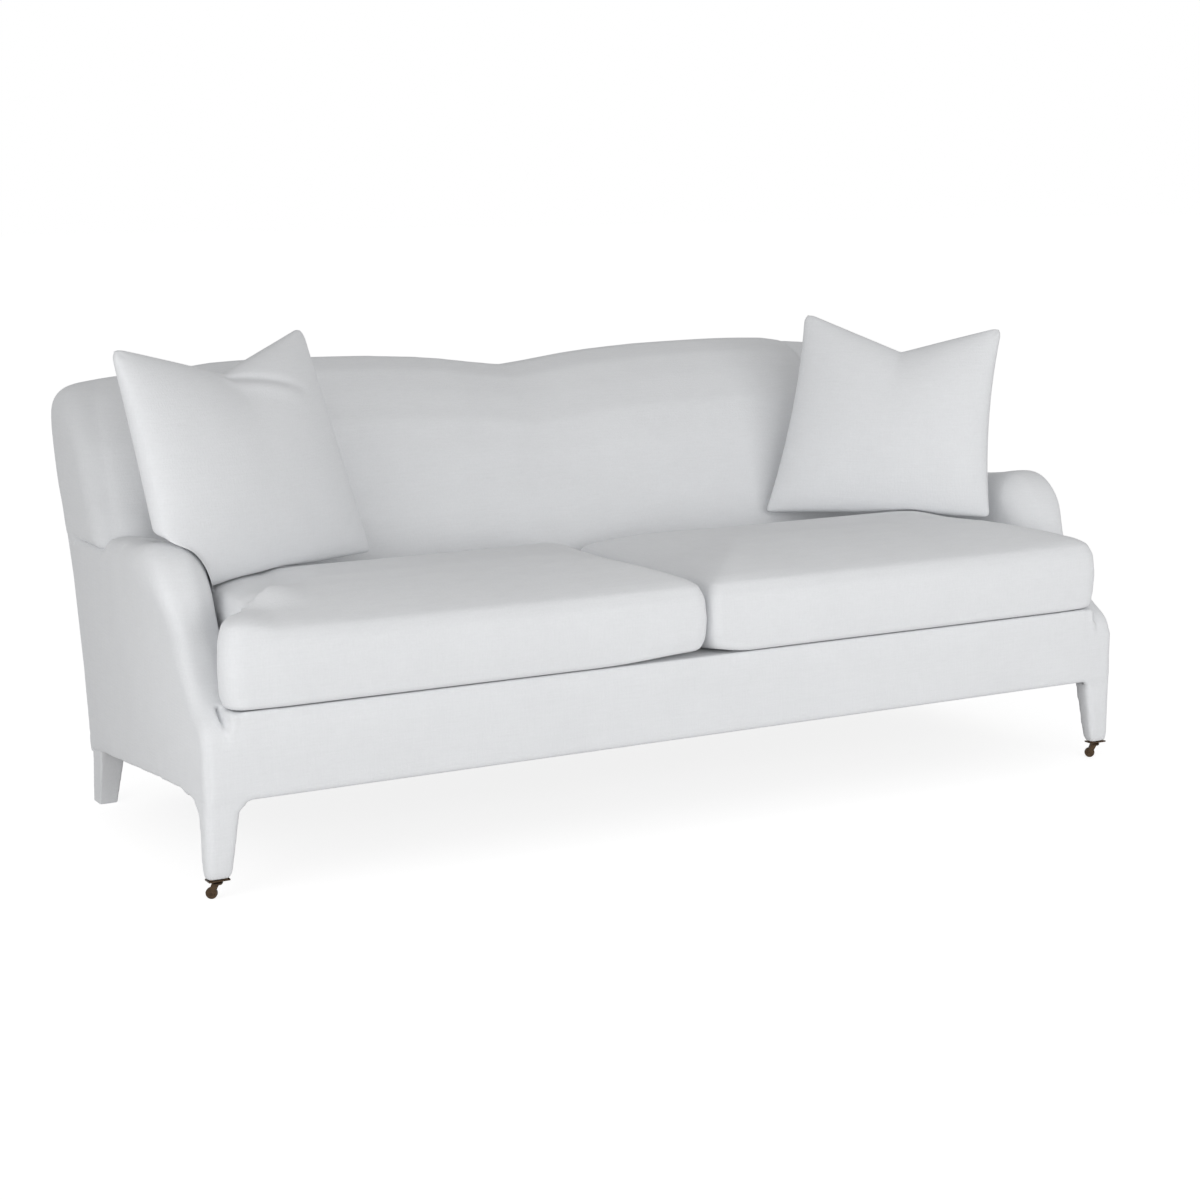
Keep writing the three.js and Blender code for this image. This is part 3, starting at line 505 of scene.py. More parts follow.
class SOFA_OT_back(bpy.types.Operator):
    """Inside back with its two wings, and the outside back"""

    bl_idname = "sofa.back"
    bl_label = "Back"

    # How far the padding swells at the back, more on the wings, and on the outside
    puff, wing_puff, panel_puff = 0.003, 0.004, 0.0045
    foot_gap = 0.001
    # Outwards from the seam, where the wing's own padding sets in
    wing_padding = (0.04, 0.12)
    # Inwards from the side, the flat part of a wing's face
    wing_face = (0.08, 0.2)
    # Shares of the wing's radius, across and deep
    wing_across, wing_deep = 2, 1.5
    # The foot of a wing over the arm: its heights, its start inwards from the side, and its lift
    wing_foot = (0.56, 0.7)
    wing_lowest = 0.5
    wing_outer = (-0.115, -0.09)
    foot_lift = 0.004
    # The crease: how near its seam, how far back, from what height it is full, and its two curves
    crease_near = 0.03
    crease_face = (0.02, 0.09)
    crease_top = (0.8, 0.88)
    crease_curves = ((0.65, 0.006), (0.5, 0.03))

    def execute(self, context):
        padding = context.scene.sofa_padding
        nodes = ["inside_back", "inside_back_wing_left", "inside_back_wing_right"]
        wood = ["back_top_rail", "back_lower_rail", "back_centre_post"]
        wood += ["rear_leg_and_post_" + side for side in SIDES]
        low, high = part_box("inside_back")
        foot, seam = low[2] + self.foot_gap, high[0]
        forms = [copied(nodes), copied([*wood, "outside_back"], above=foot)]
        piece = even_skin("back_cover", forms, padding.back_face, rounds=16)
        points = points_of(piece)
        self.round_wings(points, padding)
        move_points(piece, points)
        wing = ease_in(np.abs(points[:, 0]), self.wing_padding, seam)
        piece = eased(eased(piece, rounds=6), rounds=28, share=wing)
        swell = self.puff + self.wing_puff * wing
        points = points_of(piece) + normals_of(piece) * swell[:, None]
        self.crease(points, seam, padding)
        move_points(piece, points)
        finish_soft(piece, "frame", nodes)

        nodes = ["outside_back"]
        panel = even_skin("outside_back_cover", [copied(nodes)], padding.cover_face, rounds=2)
        move_points(panel, points_of(panel) + normals_of(panel) * self.panel_puff)
        finish_soft(panel, "frame", nodes)
        return {"FINISHED"}

    def round_wings(self, points, padding):
        """Rounds the front edges of the wings, and raises their feet onto the arms"""
        x, z = np.abs(points[:, 0]), points[:, 2]
        side = side_line(points[:, 1])
        near, far = self.wing_face
        front = front_line(points, (x > side - far) & (x < side - near))
        across, deep = padding.wing_round * self.wing_across, padding.wing_round * self.wing_deep
        du, dv = turned_corner(side - x, points[:, 1] - front, across, deep)
        points[:, 0] -= np.sign(points[:, 0]) * du
        points[:, 1] += dv
        outer = ease_in(x, self.wing_outer, side) * (z > self.wing_lowest)
        points[:, 2] += (padding.arm_rise + self.foot_lift) * fade_out(z, self.wing_foot) * outer

    def crease(self, points, seam, padding):
        """Sinks the seam between the back and each wing, deepest at the top"""
        x = np.abs(points[:, 0])
        front = front_line(points, np.abs(x - seam) < self.crease_near)
        face = fade_out(points[:, 1] - front, self.crease_face)
        top = ease_in(points[:, 2], self.crease_top)
        depth = padding.crease * (0.5 + 0.5 * top)
        groove = depth * sum(share * bell(x, seam, width) for share, width in self.crease_curves)
        points[:, 1] += groove * face
        points[:, 2] -= groove * 0.5 * top


class SOFA_OT_arms_and_base(bpy.types.Operator):
    """The arms with their rolls, the front border and the covered legs"""

    bl_idname = "sofa.arms_and_base"
    bl_label = "Arms and base"

    # Forms: how far under the base's top the solids are cut, and the plain middle of the base
    toe_drop = 0.058
    middle_half = 0.99
    middle_overlap = 0.01
    # The corner of the base under each arm: its ends, rear and foot, and how far it is let in
    corner_ends = (0.92, 1.018)
    corner_rear, corner_foot = -0.43, 0.28
    corner_front_inset, corner_top_inset = 0.002, 0.003

    # Outline of an arm from the side, as depth behind the front of the base, and height
    outline = (
        (0.004, 0.275),
        (0.006, 0.306),
        (0.018, 0.326),
        (0.041, 0.341),
        (0.068, 0.36),
        (0.112, 0.415),
        (0.144, 0.47),
        (0.171, 0.52),
        (0.191, 0.56),
        (0.223, 0.601),
        (0.258, 0.621),
        (0.293, 0.622),
        (0.369, 0.597),
        (0.441, 0.579),
        (0.549, 0.561),
        (0.62, 0.557),
    )
    arm_foot, toe_inset = 0.25, 0.03
    # How far the roll drops from its crown, and reaches to the outside and the inside, by height
    roll_drop = ((0.28, 0.36, 0.48), (0.014, 0.03, 0.066))
    roll_outside = ((0.28, 0.36, 0.5), (0.014, 0.018, 0.024))
    roll_inside = ((0.3, 0.4, 0.5), (0.02, 0.05, 0.072))
    outside_share = 0.6
    outside_steps, inside_steps = 8, 10

    # Radius of the outer front edge, by height
    front_zone = 0.1
    edge_radius = ((0.04, 0.17, 0.24, 0.28, 0.31), (0.01, 0.012, 0.016, 0.014, 0.0001))

    # Front legs: width and depth at the foot, how they grow, and the curves into the base
    leg_width, leg_widening = 0.044, 0.022
    leg_depth, leg_deepening = 0.026, 0.014
    flare = {"left": 0.024, "right": 0.01}
    flare_fade, flare_fade_down = 0.02, 0.03
    side_flare = (0.1, 0.035)
    side_above, side_slope = 0.005, 0.069
    leg_outside = (0.012, 0.04)

    # Arms: their outside counted inwards from the side, and the zones of the roll and the rise
    arm_outside = (0.01, 0.05)
    roll_heights, roll_depths = (0.46, 0.58), (-0.2, 0.05)
    rear_pull, rear_depths = 0.006, (-0.1, 0.3)
    rise_heights, rise_depths = (0.46, 0.53), (-0.26, 0.06)
    rise_margin = 0.01

    # Lower edges of the sides: how far in, from where to where, and how evenly they are drawn
    edge_in, edge_top = 0.035, 0.21
    edge_front, edge_rear, edge_fade = -0.36, 0.3, 0.03
    edge_row, edge_curve = 0.008, 3
    edge_soft = (0.014, 0.034)
    edge_flat = (0.002, 0.01)

    # Notches: depth, place inwards from the end of the border, width, and the zones they fade in
    notch_depth, notch_in, notch_width = 0.032, 0.046, 0.0055
    notch_depths, notch_heights = (0.03, 0.06), (-0.036, -0.016)

    # Batting: where it thins out inwards, above the base, and towards the casters
    puff_outside, puff_base = (0.05, 0.08), (0.3, 0.34)
    puff_foot, foot_share = (0, 0.02), 0.2

    # Rear legs: size of a face, batting, and how far the linen runs up under the side
    leg_face, leg_puff = 0.002, 0.001
    leg_stretch, leg_top = 0.014, (0.09, 0.116)

    def execute(self, context):
        padding = context.scene.sofa_padding
        nodes = ["front_border"]
        arms, wood = [], []
        for side in SIDES:
            nodes.append("front_leg_cover_" + side)
            arms += ["arm_pad_" + side, "outside_arm_" + side]
            wood += ["arm_post_" + side, "arm_rail_" + side]
        forms = self.forms(nodes, arms, wood, padding)
        piece = even_skin("arms_and_base_cover", forms, padding.cover_face, rounds=7)
        points = points_of(piece)
        self.round_arms(points, padding)
        self.round_fronts(points)
        self.flare_legs(points)
        move_points(piece, points)
        self.puff(piece, padding)
        piece = eased(piece, rounds=5)
        piece = eased(piece, rounds=40, share=self.lower_edges(points_of(piece)))
        points = points_of(piece)
        self.straighten_sides(points)
        self.sink_notches(points)
        move_points(piece, points)
        finish_soft(piece, "frame", nodes + arms)
        for side in SIDES:
            self.rear_leg(side)
        return {"FINISHED"}

    def forms(self, nodes, arms, wood, padding):
        """The solids and blocks that make up the cover, the front first"""
        low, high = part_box("front_border")
        foot, toe = low[2], high[2] - self.toe_drop
        half = self.middle_half
        forms = [
            copied(nodes, below=toe),
            copied(arms, below=toe),
            copied([*arms, *wood], behind=0.0),
            copied(["front_leg_" + side for side in SIDES], below=foot),
            block((-half, low[1], toe - self.middle_overlap), (half, high[1], high[2])),
        ]
        for sign in SIDES.values():
            forms.append(self.arm(sign, padding))
            near, far = sorted(sign * end for end in self.corner_ends)
            corner = (near, low[1] + self.corner_front_inset, self.corner_foot)
            forms.append(block(corner, (far, self.corner_rear, high[2] - self.corner_top_inset)))
        return forms

    def rear_leg(self, side):
        """The linen of a rear leg, down to the floor"""
        nodes = ["rear_leg_cover_" + side]
        leg = even_skin("rear_leg_linen_" + side, [copied(nodes)], self.leg_face, rounds=6)
        points = points_of(leg) + normals_of(leg) * self.leg_puff
        points[:, 2] += self.leg_stretch * ease_in(points[:, 2], self.leg_top)
        points[:, 2] = np.maximum(points[:, 2], 0.0)
        move_points(leg, points)
        finish_soft(leg, "frame", nodes)

    def arm(self, sign, padding):
        """One arm as a solid, rolled over at its top and its front"""
        line = np.array(self.outline)
        most, rest = 0.75, 0.25
        for _ in range(3):
            cut = [line[:-1] * most + line[1:] * rest, line[:-1] * rest + line[1:] * most]
            line = np.concatenate([line[:1], np.stack(cut, axis=1).reshape(-1, 2), line[-1:]])
        step = np.gradient(line, axis=0)
        out = np.stack([-step[:, 1], step[:, 0]], axis=1)
        out /= np.linalg.norm(out, axis=1)[:, None]
        height = line[:, 1]
        drop = np.interp(height, *self.roll_drop)
        outer = np.interp(height, *self.roll_outside)
        inner = np.interp(height, *self.roll_inside)
        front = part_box("front_border")[0][1]
        sole = [[line[-1, 0], self.arm_foot], [line[0, 0] + self.toe_inset, self.arm_foot]]
        rows = []
        angles = (*np.linspace(-90, 0, self.outside_steps), *np.linspace(0, 90, self.inside_steps))
        for angle in angles:
            sine, cosine = math.sin(math.radians(angle)), math.cos(math.radians(angle))
            share = self.outside_share if sine < 0 else 1
            profile = line - out * (drop * (1 - cosine) * share)[:, None]
            if len(rows) < self.outside_steps:
                inwards = outer * (1 + sine)
            else:
                inwards = padding.arm_width - inner * (1 - sine)
            profile = np.concatenate([profile, sole])
            inwards = np.concatenate([inwards, [inwards[-1], inwards[0]]])
            y = profile[:, 0] + front
            rows.append(np.stack([sign * (side_line(y) - inwards), y, profile[:, 1]], axis=1))
        form = bmesh.new()
        grid = [[form.verts.new(point) for point in row] for row in rows]
        around = len(grid[0])
        for near, far in zip(grid[:-1], grid[1:]):
            for i in range(around):
                j = (i + 1) % around
                form.faces.new((near[i], near[j], far[j], far[i]))
        form.faces.new(grid[0])
        form.faces.new(grid[-1])
        bmesh.ops.recalc_face_normals(form, faces=form.faces)
        return form

    def round_fronts(self, points):
        """Turns the outer front edge of each arm and of the base softly round to the side"""
        x, y, z = np.abs(points[:, 0]), points[:, 1], points[:, 2]
        side = side_line(y)
        front = front_line(points, x > side - self.front_zone)
        radius = np.interp(z, *self.edge_radius)
        du, dv = turned_corner(side - x, y - front, radius, radius)
        points[:, 0] -= np.sign(points[:, 0]) * du
        points[:, 1] += dv

    def flare_legs(self, points):
        """Lets the front legs run into the base in a curve, to the middle and to the rear"""
        low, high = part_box("front_leg_cover_right")
        foot, top = low[2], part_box("front_border")[0][2]
        x, y, z = np.abs(points[:, 0]), points[:, 1], points[:, 2]
        rise = (z - foot) / (top - foot)
        reach = np.where(points[:, 0] < 0, self.flare["left"], self.flare["right"])
        u = high[0] - self.leg_width - self.leg_widening * rise - x
        v = top - z
        near = np.clip(1 + u / self.flare_fade, 0, 1) * np.clip(1 + v / self.flare_fade, 0, 1)
        du, dv = turned_corner(u, v, reach, reach)
        points[:, 0] -= np.sign(points[:, 0]) * du * near
        points[:, 2] -= dv * near
        outer = fade_out(side_line(y) - x, self.leg_outside)
        u = y - (low[1] + self.leg_depth + self.leg_deepening * rise)
        v = top + self.side_above - self.side_slope * (y - low[1]) - z
        near = outer * np.clip(1 + u / self.flare_fade, 0, 1)
        near = near * np.clip(1 + v / self.flare_fade_down, 0, 1)
        du, dv = turned_corner(u, v, *self.side_flare)
        points[:, 1] += du * near
        points[:, 2] -= dv * near

    def round_arms(self, points, padding):
        """Lets the top of each arm stand out over its side, and raises it towards the wing"""
        x, y, z = np.abs(points[:, 0]), points[:, 1], points[:, 2]
        side = side_line(y)
        sign = np.sign(points[:, 0])
        outer = fade_out(side - x, self.arm_outside)
        roll = ease_in(z, self.roll_heights) * fade_out(y, self.roll_depths)
        points[:, 0] += sign * padding.arm_roll * roll * outer
        points[:, 0] -= sign * self.rear_pull * outer * ease_in(y, self.rear_depths)
        arm = x > side - padding.arm_width - self.rise_margin
        rise = ease_in(z, self.rise_heights) * ease_in(y, self.rise_depths)
        points[:, 2] += padding.arm_rise * rise * arm

    def above_sides(self, points, sign):
        """Heights of the points above the lower edge of one side, and how far each is part of it"""
        x, y, z = points[:, 0], points[:, 1], points[:, 2]
        front, rear, row, fade = self.edge_front, self.edge_rear, self.edge_row, self.edge_fade
        near = (x * sign > side_line(y) - self.edge_in) & (z < self.edge_top)
        near &= (y > front) & (y < rear)
        rows = ((y - front) / row).astype(int)
        low = np.full(rows[near].max() + 1, np.inf)
        np.minimum.at(low, rows[near], z[near])
        depths = (np.arange(len(low)) + 0.5) * row + front
        known = np.isfinite(low)
        edge = np.polyval(np.polyfit(depths[known], low[known], self.edge_curve), y)
        inside = ease_in(y, (0, fade), front) * fade_out(y, (-fade, 0), rear) * near
        return z - edge, inside

    def lower_edges(self, points):
        """Shares that pick out the lower edges of both sides"""
        share = np.zeros(len(points))
        for sign in SIDES.values():
            height, inside = self.above_sides(points, sign)
            share += inside * fade_out(height, self.edge_soft)
        return share

    def straighten_sides(self, points):
        """Takes the steps of the small faces out of the lower edges of the sides"""
        for sign in SIDES.values():
            height, inside = self.above_sides(points, sign)
            points[:, 2] += (height * ease_in(height, self.edge_flat) - height) * inside

    def sink_notches(self, points):
        """A short dent in the front between the base and each arm"""
        low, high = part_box("front_border")
        x, y, z = np.abs(points[:, 0]), points[:, 1], points[:, 2]
        face = fade_out(y - low[1], self.notch_depths) * ease_in(z, self.notch_heights, high[2])
        points[:, 1] += self.notch_depth * bell(x, high[0] - self.notch_in, self.notch_width) * face

    def puff(self, piece, padding):
        """Puffs the outer sides and the front of the base, away from the cushions"""
        points, normals = points_of(piece), normals_of(piece)
        x, y, z = np.abs(points[:, 0]), points[:, 1], points[:, 2]
        outer = fade_out(side_line(y) - x, self.puff_outside)
        base = fade_out(z, self.puff_base)
        share = np.maximum(outer, base) * (1 - np.clip(normals[:, 2], 0, 1) * base)
        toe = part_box("front_leg_cover_right")[0][2]
        share *= ease_in(z, self.puff_foot, toe) * (1 - self.foot_share) + self.foot_share
        points += normals * (padding.batting * share)[:, None]
        move_points(piece, points)


class SOFA_OT_seat_platform(bpy.types.Operator):
    """The padded platform that the seat cushions lie on"""

    bl_idname = "sofa.seat_platform"
    bl_label = "Seat platform"

    def execute(self, context):
        nodes = ["seat_deck"]
        piece = even_skin("seat_platform", [copied(nodes)], face=0.008, rounds=2)
        finish_soft(piece, "frame", nodes)
        return {"FINISHED"}


class SOFA_OT_seat_cushions(bpy.types.Operator):
    """Two loose seat cushions"""

    bl_idname = "sofa.seat_cushions"
    bl_label = "Seat cushions"

    # Zones of a cushion: its bottom, its front, its top, and what lies behind the arm's front
    bottom, lowest = (0, 0.06), (0, 0.03)
    front, behind = (0, 0.12), (0.08, 0.16)
    upper = (-0.11, -0.05)
    # How far from the middle of the sofa the bottom corners lift, and how steeply
    lift_reach = {"left": 0.3, "right": 0.12}
    lift_power = 1.5
    # How far the bottom edge comes forward
    forward = 0.006
    # Swelling beside the arm and at the front corner, each with its zone across the sofa
    beside, beside_across = 0.034, (0.79, 0.93)
    corner, corner_across = 0.014, (0.9, 0.99)
    corner_wider, corner_end = 0.008, (0.96, 1.0)
    beside_wider, beside_end = 0.008, (0.89, 0.93)
    # Share of the swelling that each cushion has, upwards and sideways
    fuller = {"left": 1.0, "right": 0.0}
    wider = {"left": 1.0, "right": 0.4}

    def execute(self, context):
        padding = context.scene.sofa_padding
        for side, sign in SIDES.items():
            node = "seat_cushion_" + side
            forms = [copied([node])]
            piece = even_skin("cushion_" + side, forms, padding.cushion_face, rounds=9)
            points = points_of(piece)
            low, high = (np.array(corner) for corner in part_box(node))
            x, y, z = np.abs(points[:, 0]), points[:, 1], points[:, 2]
            inner = fade_out(x, (0.0, self.lift_reach[side]))
            front = fade_out(y, self.front, low[1])
            lift = fade_out(z, self.bottom, low[2]) * inner**self.lift_power * front
            points[:, 2] += padding.cushion_pinch * lift
            points[:, 1] -= self.forward * front * fade_out(z, self.lowest, low[2])
            upper = ease_in(z, self.upper, high[2])
            rear = ease_in(y, self.behind, low[1])
            beside = self.beside * ease_in(x, self.beside_across) * rear
            corner = self.corner * ease_in(x, self.corner_across) * (1 - rear)
            wider = self.corner_wider * ease_in(x, self.corner_end) * (1 - rear)
            wider += self.beside_wider * ease_in(x, self.beside_end) * rear * upper
            points[:, 2] += (beside + corner) * upper * self.fuller[side]
            points[:, 0] += sign * wider * self.wider[side]
            move_points(piece, points)
            finish_soft(piece, node, [node])
        return {"FINISHED"}


class SOFA_OT_throw_pillows(bpy.types.Operator):
    """Two loose pillows with a chop in the top edge"""

    bl_idname = "sofa.throw_pillows"
    bl_label = "Throw pillows"

    # Foot of each pillow, its widths, height, lean to one side, and how it stands
    placed = {
        "left": {
            "foot": (-0.775, -0.11136, 0.53),
            "width": 0.64,
            "top": 0.58,
            "height": 0.486,
            "shift": -0.008,
            "skew": -0.004,
            "fold": 0.009,
            "turn": 30.0,
            "lean": 16.2,
        },
        "right": {
            "foot": (0.721, -0.06836, 0.53),
            "width": 0.518,
            "top": 0.458,
            "height": 0.457,
            "shift": 0.043,
            "skew": 0.016,
            "fold": 0.0,
            "turn": -42.2,
            "lean": 14.0,
        },
    }
    steps = 110
    # Sides drawn in, bottom edge raised at its middle, and half the thickness at the seam and beyond
    drawn_in, raised = 0.016, 0.0048
    seam, swell = 0.002, 0.073
    # The chop between the ears, and the valley that runs down from it
    chop, chop_power = 0.078, 2.5
    valley, valley_power, valley_width = 0.35, 4, 0.35
    # Rounding of the corners
    top_corner, bottom_corner = 0.026, 0.014
    # The fold on the face: its slope and middle, its ends, and the crest and groove across it
    fold_slope, fold_middle = 0.317, 0.14
    fold_start, fold_end = (-0.2, 0.05), (0.35, 0.72)
    fold_crest, crest_place, crest_width = 0.5, -0.055, 0.045
    groove_width = 0.022
    edge_share = 3
    # Pressing: the arm's margin, the height it ends at, what counts as touching, how far the cloth
    # may be pressed, how clear it ends, and how the smoothing around it thins out
    arm_margin = 0.012
    pressed_top = 0.66
    touching, reach, clear = 0.002, 0.15, 0.003
    pressed, rings, ring_loss = (0, 0.004), 8, 0.12

    def execute(self, context):
        for side, sizes in self.placed.items():
            node = "throw_pillow_" + side
            piece = self.sewn("pillow_" + side, sizes)
            piece = eased(piece, rounds=16, share=self.settle(piece, side))
            piece = eased(piece, rounds=3)
            finish_soft(piece, node, [node])
        return {"FINISHED"}

    def sewn(self, name, sizes):
        """Two bulging faces sewn together along their edges"""
        t = np.linspace(0, 1, self.steps + 1)
        t = (t + 0.5 * (1 - np.cos(np.pi * t))) / 2
        u, v = np.meshgrid(t * 2 - 1, t)
        faces = [self.face_of(u, v, way, sizes) for way in (-1, 1)]
        edge = (np.abs(u) == 1) | (v == 0) | (v == 1)
        front = np.arange(u.size).reshape(u.shape)
        rear = front.copy()
        rear[~edge] = np.arange(u.size, u.size + (~edge).sum())
        middle = (faces[0] + faces[1]) / 2
        faces[0][edge] = middle[edge]
        points = np.concatenate([faces[0].reshape(-1, 3), faces[1][~edge]])
        quads = []
        for grid, order in ((front, 1), (rear, -1)):
            corners = (grid[:-1, :-1], grid[:-1, 1:], grid[1:, 1:], grid[1:, :-1])
            quads += np.stack([c.ravel() for c in corners], axis=1)[:, ::order].tolist()
        mesh = bpy.data.meshes.new(name)
        mesh.from_pydata(points.tolist(), [], quads)
        mesh.validate()
        turn, lean = math.radians(sizes["turn"]), math.radians(sizes["lean"])
        place = Matrix.Rotation(turn, 4, "Z") @ Matrix.Rotation(-lean, 4, "X")
        mesh.transform(Matrix.Translation(sizes["foot"]) @ place)
        return linked(name, mesh)

    def face_of(self, u, v, way, sizes):
        """Points of one face, u across it from -1 to 1 and v up it from 0 to 1"""
        w = v * 2 - 1
        width, height = sizes["width"], sizes["height"]
        half = (width + (sizes["top"] - width) * v) / 2 - self.drawn_in * (1 - w * w)
        dent = self.chop * (1 - np.abs(u)) * v**self.chop_power
        valley = self.valley * v**self.valley_power * bell(u, 0, self.valley_width)
        full = ((1 - u * u) * (1 - w * w)) ** 0.5 * (1 - valley)
        rise = v * (height - sizes["skew"] * u) - dent + self.raised * (1 - u * u) * (1 - v)
        across = u * half
        ends = ((1 - v, self.top_corner, -1), (v, self.bottom_corner, 1))
        for along, radius, back in ends:
            du, dv = turned_corner(half - np.abs(across), height * along, radius, radius)
            across -= np.sign(u) * du
            rise += back * dv
        thick = self.seam + self.swell * full
        if way < 0:
            line = v - 1 + self.fold_slope * (u + self.fold_middle)
            along = ease_in(u, self.fold_start) * fade_out(u, self.fold_end)
            crest = self.fold_crest * bell(line, self.crest_place, self.crest_width)
            fold = crest - bell(line, 0.0, self.groove_width)
            inside = np.clip(full * self.edge_share, 0, 1)
            thick = thick + sizes["fold"] * fold * along * inside
        return np.stack([across + sizes["shift"] * v, way * thick, rise], axis=-1)

    def settle(self, piece, side):
        """Presses the pillow's cloth out of the arm and the cushion, and gives each point's share"""
        points = points_of(piece)
        inwards, up = Vector((-SIDES[side], 0, 0)), Vector((0, 0, 1))
        for name, way, margin in (
            ("arms_and_base_cover", inwards, self.arm_margin),
            ("cushion_" + side, up, 0.0),
        ):
            mesh = bpy.data.objects[name].data
            corners = [vertex.co for vertex in mesh.vertices]
            tree = BVHTree.FromPolygons(corners, [tuple(f.vertices) for f in mesh.polygons])
            for i in np.flatnonzero(points[:, 2] < self.pressed_top):
                start = Vector(points[i]) - up * margin
                place, normal, _, _ = tree.find_nearest(start)
                if (start - place).dot(normal) > self.touching:
                    continue
                found = tree.ray_cast(start, way, self.reach)[0]
                if found is not None:
                    points[i] += np.array((found - start).dot(way) * way + way * self.clear)
        moved = np.linalg.norm(points - points_of(piece), axis=1)
        move_points(piece, points)
        return self.spread(piece, ease_in(moved, self.pressed))

    def spread(self, piece, share):
        """Shares that thin out from edge to edge around the points that have one"""
        ends = np.array([tuple(edge.vertices) for edge in piece.data.edges])
        for _ in range(self.rings):
            near = share.copy()
            np.maximum.at(near, ends[:, 0], share[ends[:, 1]] - self.ring_loss)
            np.maximum.at(near, ends[:, 1], share[ends[:, 0]] - self.ring_loss)
            share = near
        return share


class SOFA_OT_frame_finishes(bpy.types.Operator):
    """Materials of the frame, the springs, the dust cover and the casters"""

    bl_idname = "sofa.frame_finishes"
    bl_label = "Frame finishes"

    # Other solids that show are wood
    finishes = {"seat_spring": spring_steel, "caster": bronze, "dust_cover": cambric}

    def execute(self, context):
        for name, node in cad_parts.items():
            if node.hide_render:
                continue
            finish = frame_wood
            for start, other in self.finishes.items():
                if name.startswith(start):
                    finish = other
            node.data.materials.clear()
            node.data.materials.append(finished(finish))
        return {"FINISHED"}


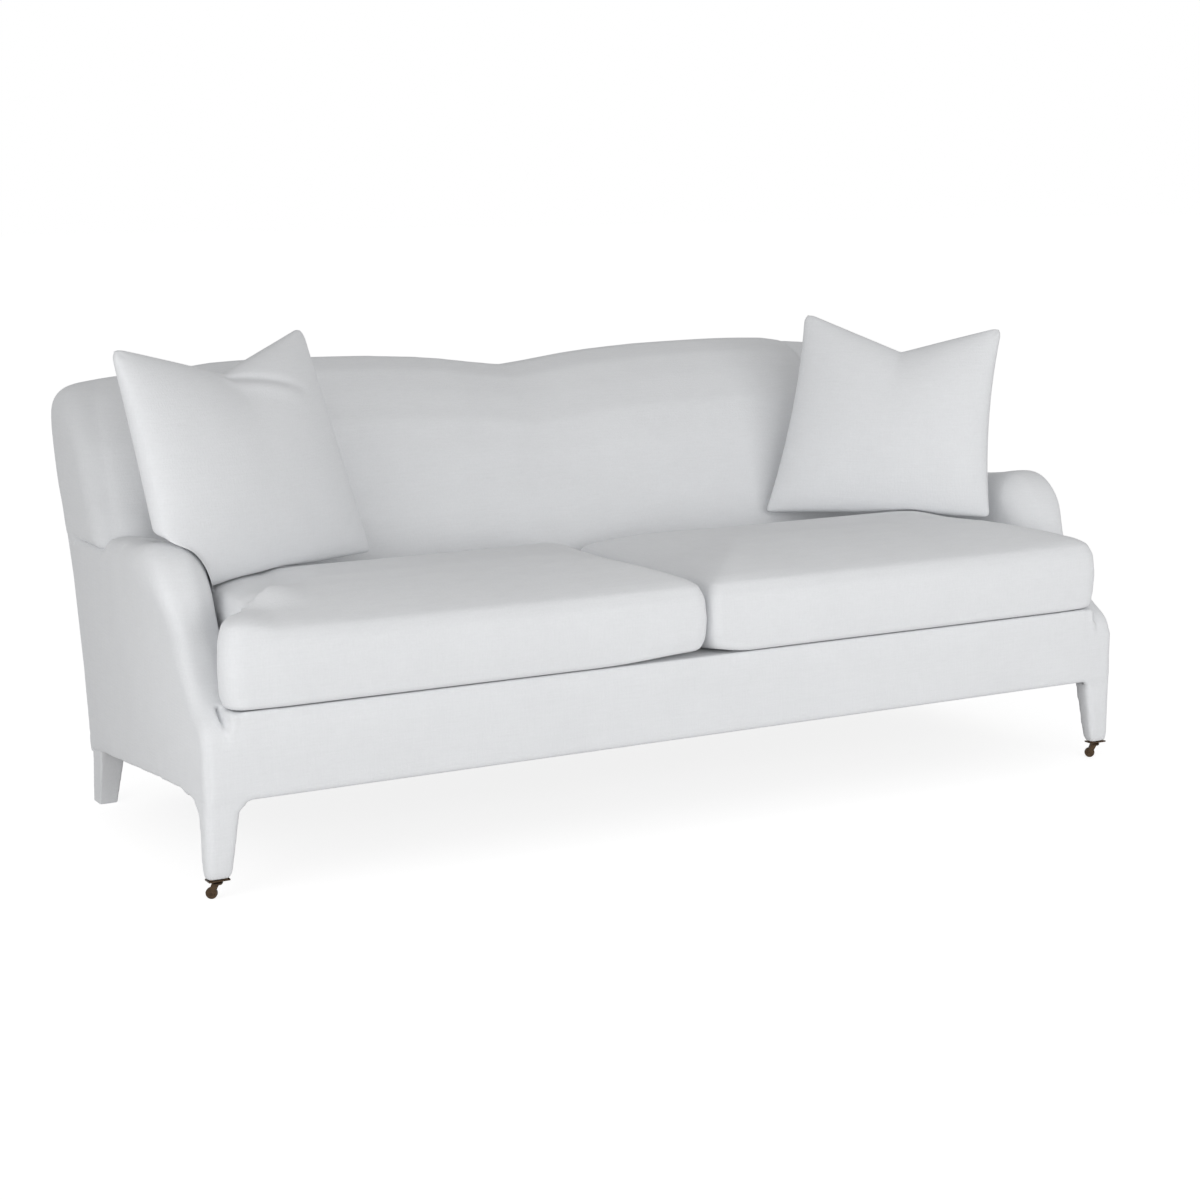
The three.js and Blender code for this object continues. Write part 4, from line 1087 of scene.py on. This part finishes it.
class SOFA_OT_stage(bpy.types.Operator):
    """White floor, soft light and the camera"""

    bl_idname = "sofa.stage"
    bl_label = "Stage"

    # Soft lights: width and height, and what they point at
    key_size, key_aim = (3.4, 1.6), (0.1, 0.0, 0.9)
    fill_size, fill_aim = (0.8, 0.8), (-0.9, -0.3, 0.6)
    # Broad lights: the direction that they come from, and their angle in the sky in degrees
    left_from, left_angle = (-0.7, -0.7, 0.25), 70
    rear_from, rear_angle = (0.35, 0.8, 0.5), 80
    # Floor: half its width, its grey, and as it is seen, its glow and the grey that takes shadow
    floor_half = 60.0
    floor_grey, floor_glow, shadow_grey = 0.93, 0.84, 0.36

    def execute(self, context):
        stage = context.scene.sofa_stage
        self.floor()
        self.world(stage)
        self.softbox("key_light", stage.key, self.key_size, stage.key_place, self.key_aim)
        self.softbox("fill_light", stage.fill, self.fill_size, stage.fill_place, self.fill_aim)
        self.broad_light("left_light", stage.left, self.left_from, self.left_angle)
        self.broad_light("rear_light", stage.rear, self.rear_from, self.rear_angle)
        self.camera(stage)
        context.scene.view_settings.view_transform = "Standard"
        return {"FINISHED"}

    def floor(self):
        """A white floor that keeps the sofa's shadow"""
        mesh = bpy.data.meshes.new("floor")
        half = self.floor_half
        corners = [(-half, -half, 0), (half, -half, 0), (half, half, 0), (-half, half, 0)]
        mesh.from_pydata(corners, [], [(0, 1, 2, 3)])
        floor = linked("floor", mesh)
        shader = Shader(bpy.data.materials.new("white_floor"))
        plain, shadowed = (
            shader.node("ShaderNodeBsdfDiffuse", {}, {"Color": rgba((grey, grey, grey))})
            for grey in (self.floor_grey, self.shadow_grey)
        )
        glow = shader.node("ShaderNodeEmission", {}, {"Strength": self.floor_glow})
        seen = shader.node(
            "ShaderNodeAddShader", {}, {0: glow.outputs[0], 1: shadowed.outputs[0]}
        )
        shader.output(self.seen_or_lit(shader, seen, plain))
        mesh.materials.append(shader.owner)

    def seen_or_lit(self, shader, seen, lit):
        """One shader for the rays that the camera, metal and glass see, another for the light"""
        path = shader.node("ShaderNodeLightPath").outputs
        camera, glossy, through = (
            Number(shader, path[f"Is {kind} Ray"]) for kind in ("Camera", "Glossy", "Transmission")
        )
        sockets = {0: camera + glossy + through, 1: lit.outputs[0], 2: seen.outputs[0]}
        return shader.node("ShaderNodeMixShader", {}, sockets).outputs[0]

    def world(self, stage):
        """An even sky, seen as white"""
        world = bpy.data.worlds.new("studio")
        bpy.context.scene.world = world
        shader = Shader(world)
        even, white = (
            shader.node("ShaderNodeBackground", {}, {"Color": rgba((1, 1, 1)), "Strength": power})
            for power in (stage.sky, 1.0)
        )
        shader.output(self.seen_or_lit(shader, white, even), "ShaderNodeOutputWorld")

    def softbox(self, name, power, size, place, aim):
        """A soft light that neither the camera nor the metal sees"""
        light = bpy.data.lights.new(name, "AREA")
        light.shape = "RECTANGLE"
        light.size, light.size_y = size
        light.energy = power
        lamp = self.lamp(name, light, Vector(place) - Vector(aim))
        lamp.location = place
        lamp.visible_camera = False
        lamp.visible_glossy = False

    def broad_light(self, name, strength, source, angle):
        """Very soft light from one direction"""
        light = bpy.data.lights.new(name, "SUN")
        light.energy = strength
        light.angle = math.radians(angle)
        self.lamp(name, light, Vector(source))

    def lamp(self, name, light, source):
        """A light as an object that shines away from its source"""
        lamp = bpy.data.objects.new(name, light)
        lamp.rotation_mode = "QUATERNION"
        lamp.rotation_quaternion = source.to_track_quat("Z", "Y")
        bpy.context.scene.collection.objects.link(lamp)
        return lamp

    def camera(self, stage):
        """The camera, turned from +Y by its yaw, pitch and roll"""
        data = bpy.data.cameras.new("camera")
        data.lens = stage.camera_lens
        data.sensor_width = 36.0
        camera = bpy.data.objects.new("camera", data)
        bpy.context.scene.collection.objects.link(camera)
        yaw, pitch, roll = stage.camera_yaw, stage.camera_pitch, stage.camera_roll
        level = Vector((math.cos(yaw), -math.sin(yaw), 0))
        ahead = math.cos(pitch)
        forward = Vector((math.sin(yaw) * ahead, math.cos(yaw) * ahead, math.sin(pitch)))
        above = level.cross(forward)
        right = level * math.cos(roll) + above * math.sin(roll)
        up = above * math.cos(roll) - level * math.sin(roll)
        turn = Matrix((right, up, -forward)).transposed()
        camera.matrix_world = Matrix.Translation(stage.camera_place) @ turn.to_4x4()
        bpy.context.scene.camera = camera


# Registration

PIECES = (
    SOFA_OT_back,
    SOFA_OT_arms_and_base,
    SOFA_OT_seat_platform,
    SOFA_OT_seat_cushions,
    SOFA_OT_throw_pillows,
    SOFA_OT_frame_finishes,
    SOFA_OT_stage,
)
GROUPS = {"sofa_cloth": SofaCloth, "sofa_padding": SofaPadding, "sofa_stage": SofaStage}


class SOFA_PT_panel(bpy.types.Panel):
    """Lists the sofa's pieces"""

    bl_idname = "SOFA_PT_panel"
    bl_label = "Camelback sofa"
    bl_space_type = "VIEW_3D"
    bl_region_type = "UI"
    bl_category = "Sofa"

    def draw(self, context):
        for piece in PIECES:
            self.layout.operator(piece.bl_idname)


def register():
    for name, group in GROUPS.items():
        bpy.utils.register_class(group)
        setattr(bpy.types.Scene, name, bpy.props.PointerProperty(type=group))
    for piece in (*PIECES, SOFA_PT_panel):
        bpy.utils.register_class(piece)


def unregister():
    for piece in (SOFA_PT_panel, *reversed(PIECES)):
        bpy.utils.unregister_class(piece)
    for name, group in GROUPS.items():
        delattr(bpy.types.Scene, name)
        bpy.utils.unregister_class(group)


def main():
    """Builds every piece and the stage"""
    register()
    for piece in PIECES:
        group, name = piece.bl_idname.split(".")
        getattr(getattr(bpy.ops, group), name)()


if __name__ == "__main__":
    main()
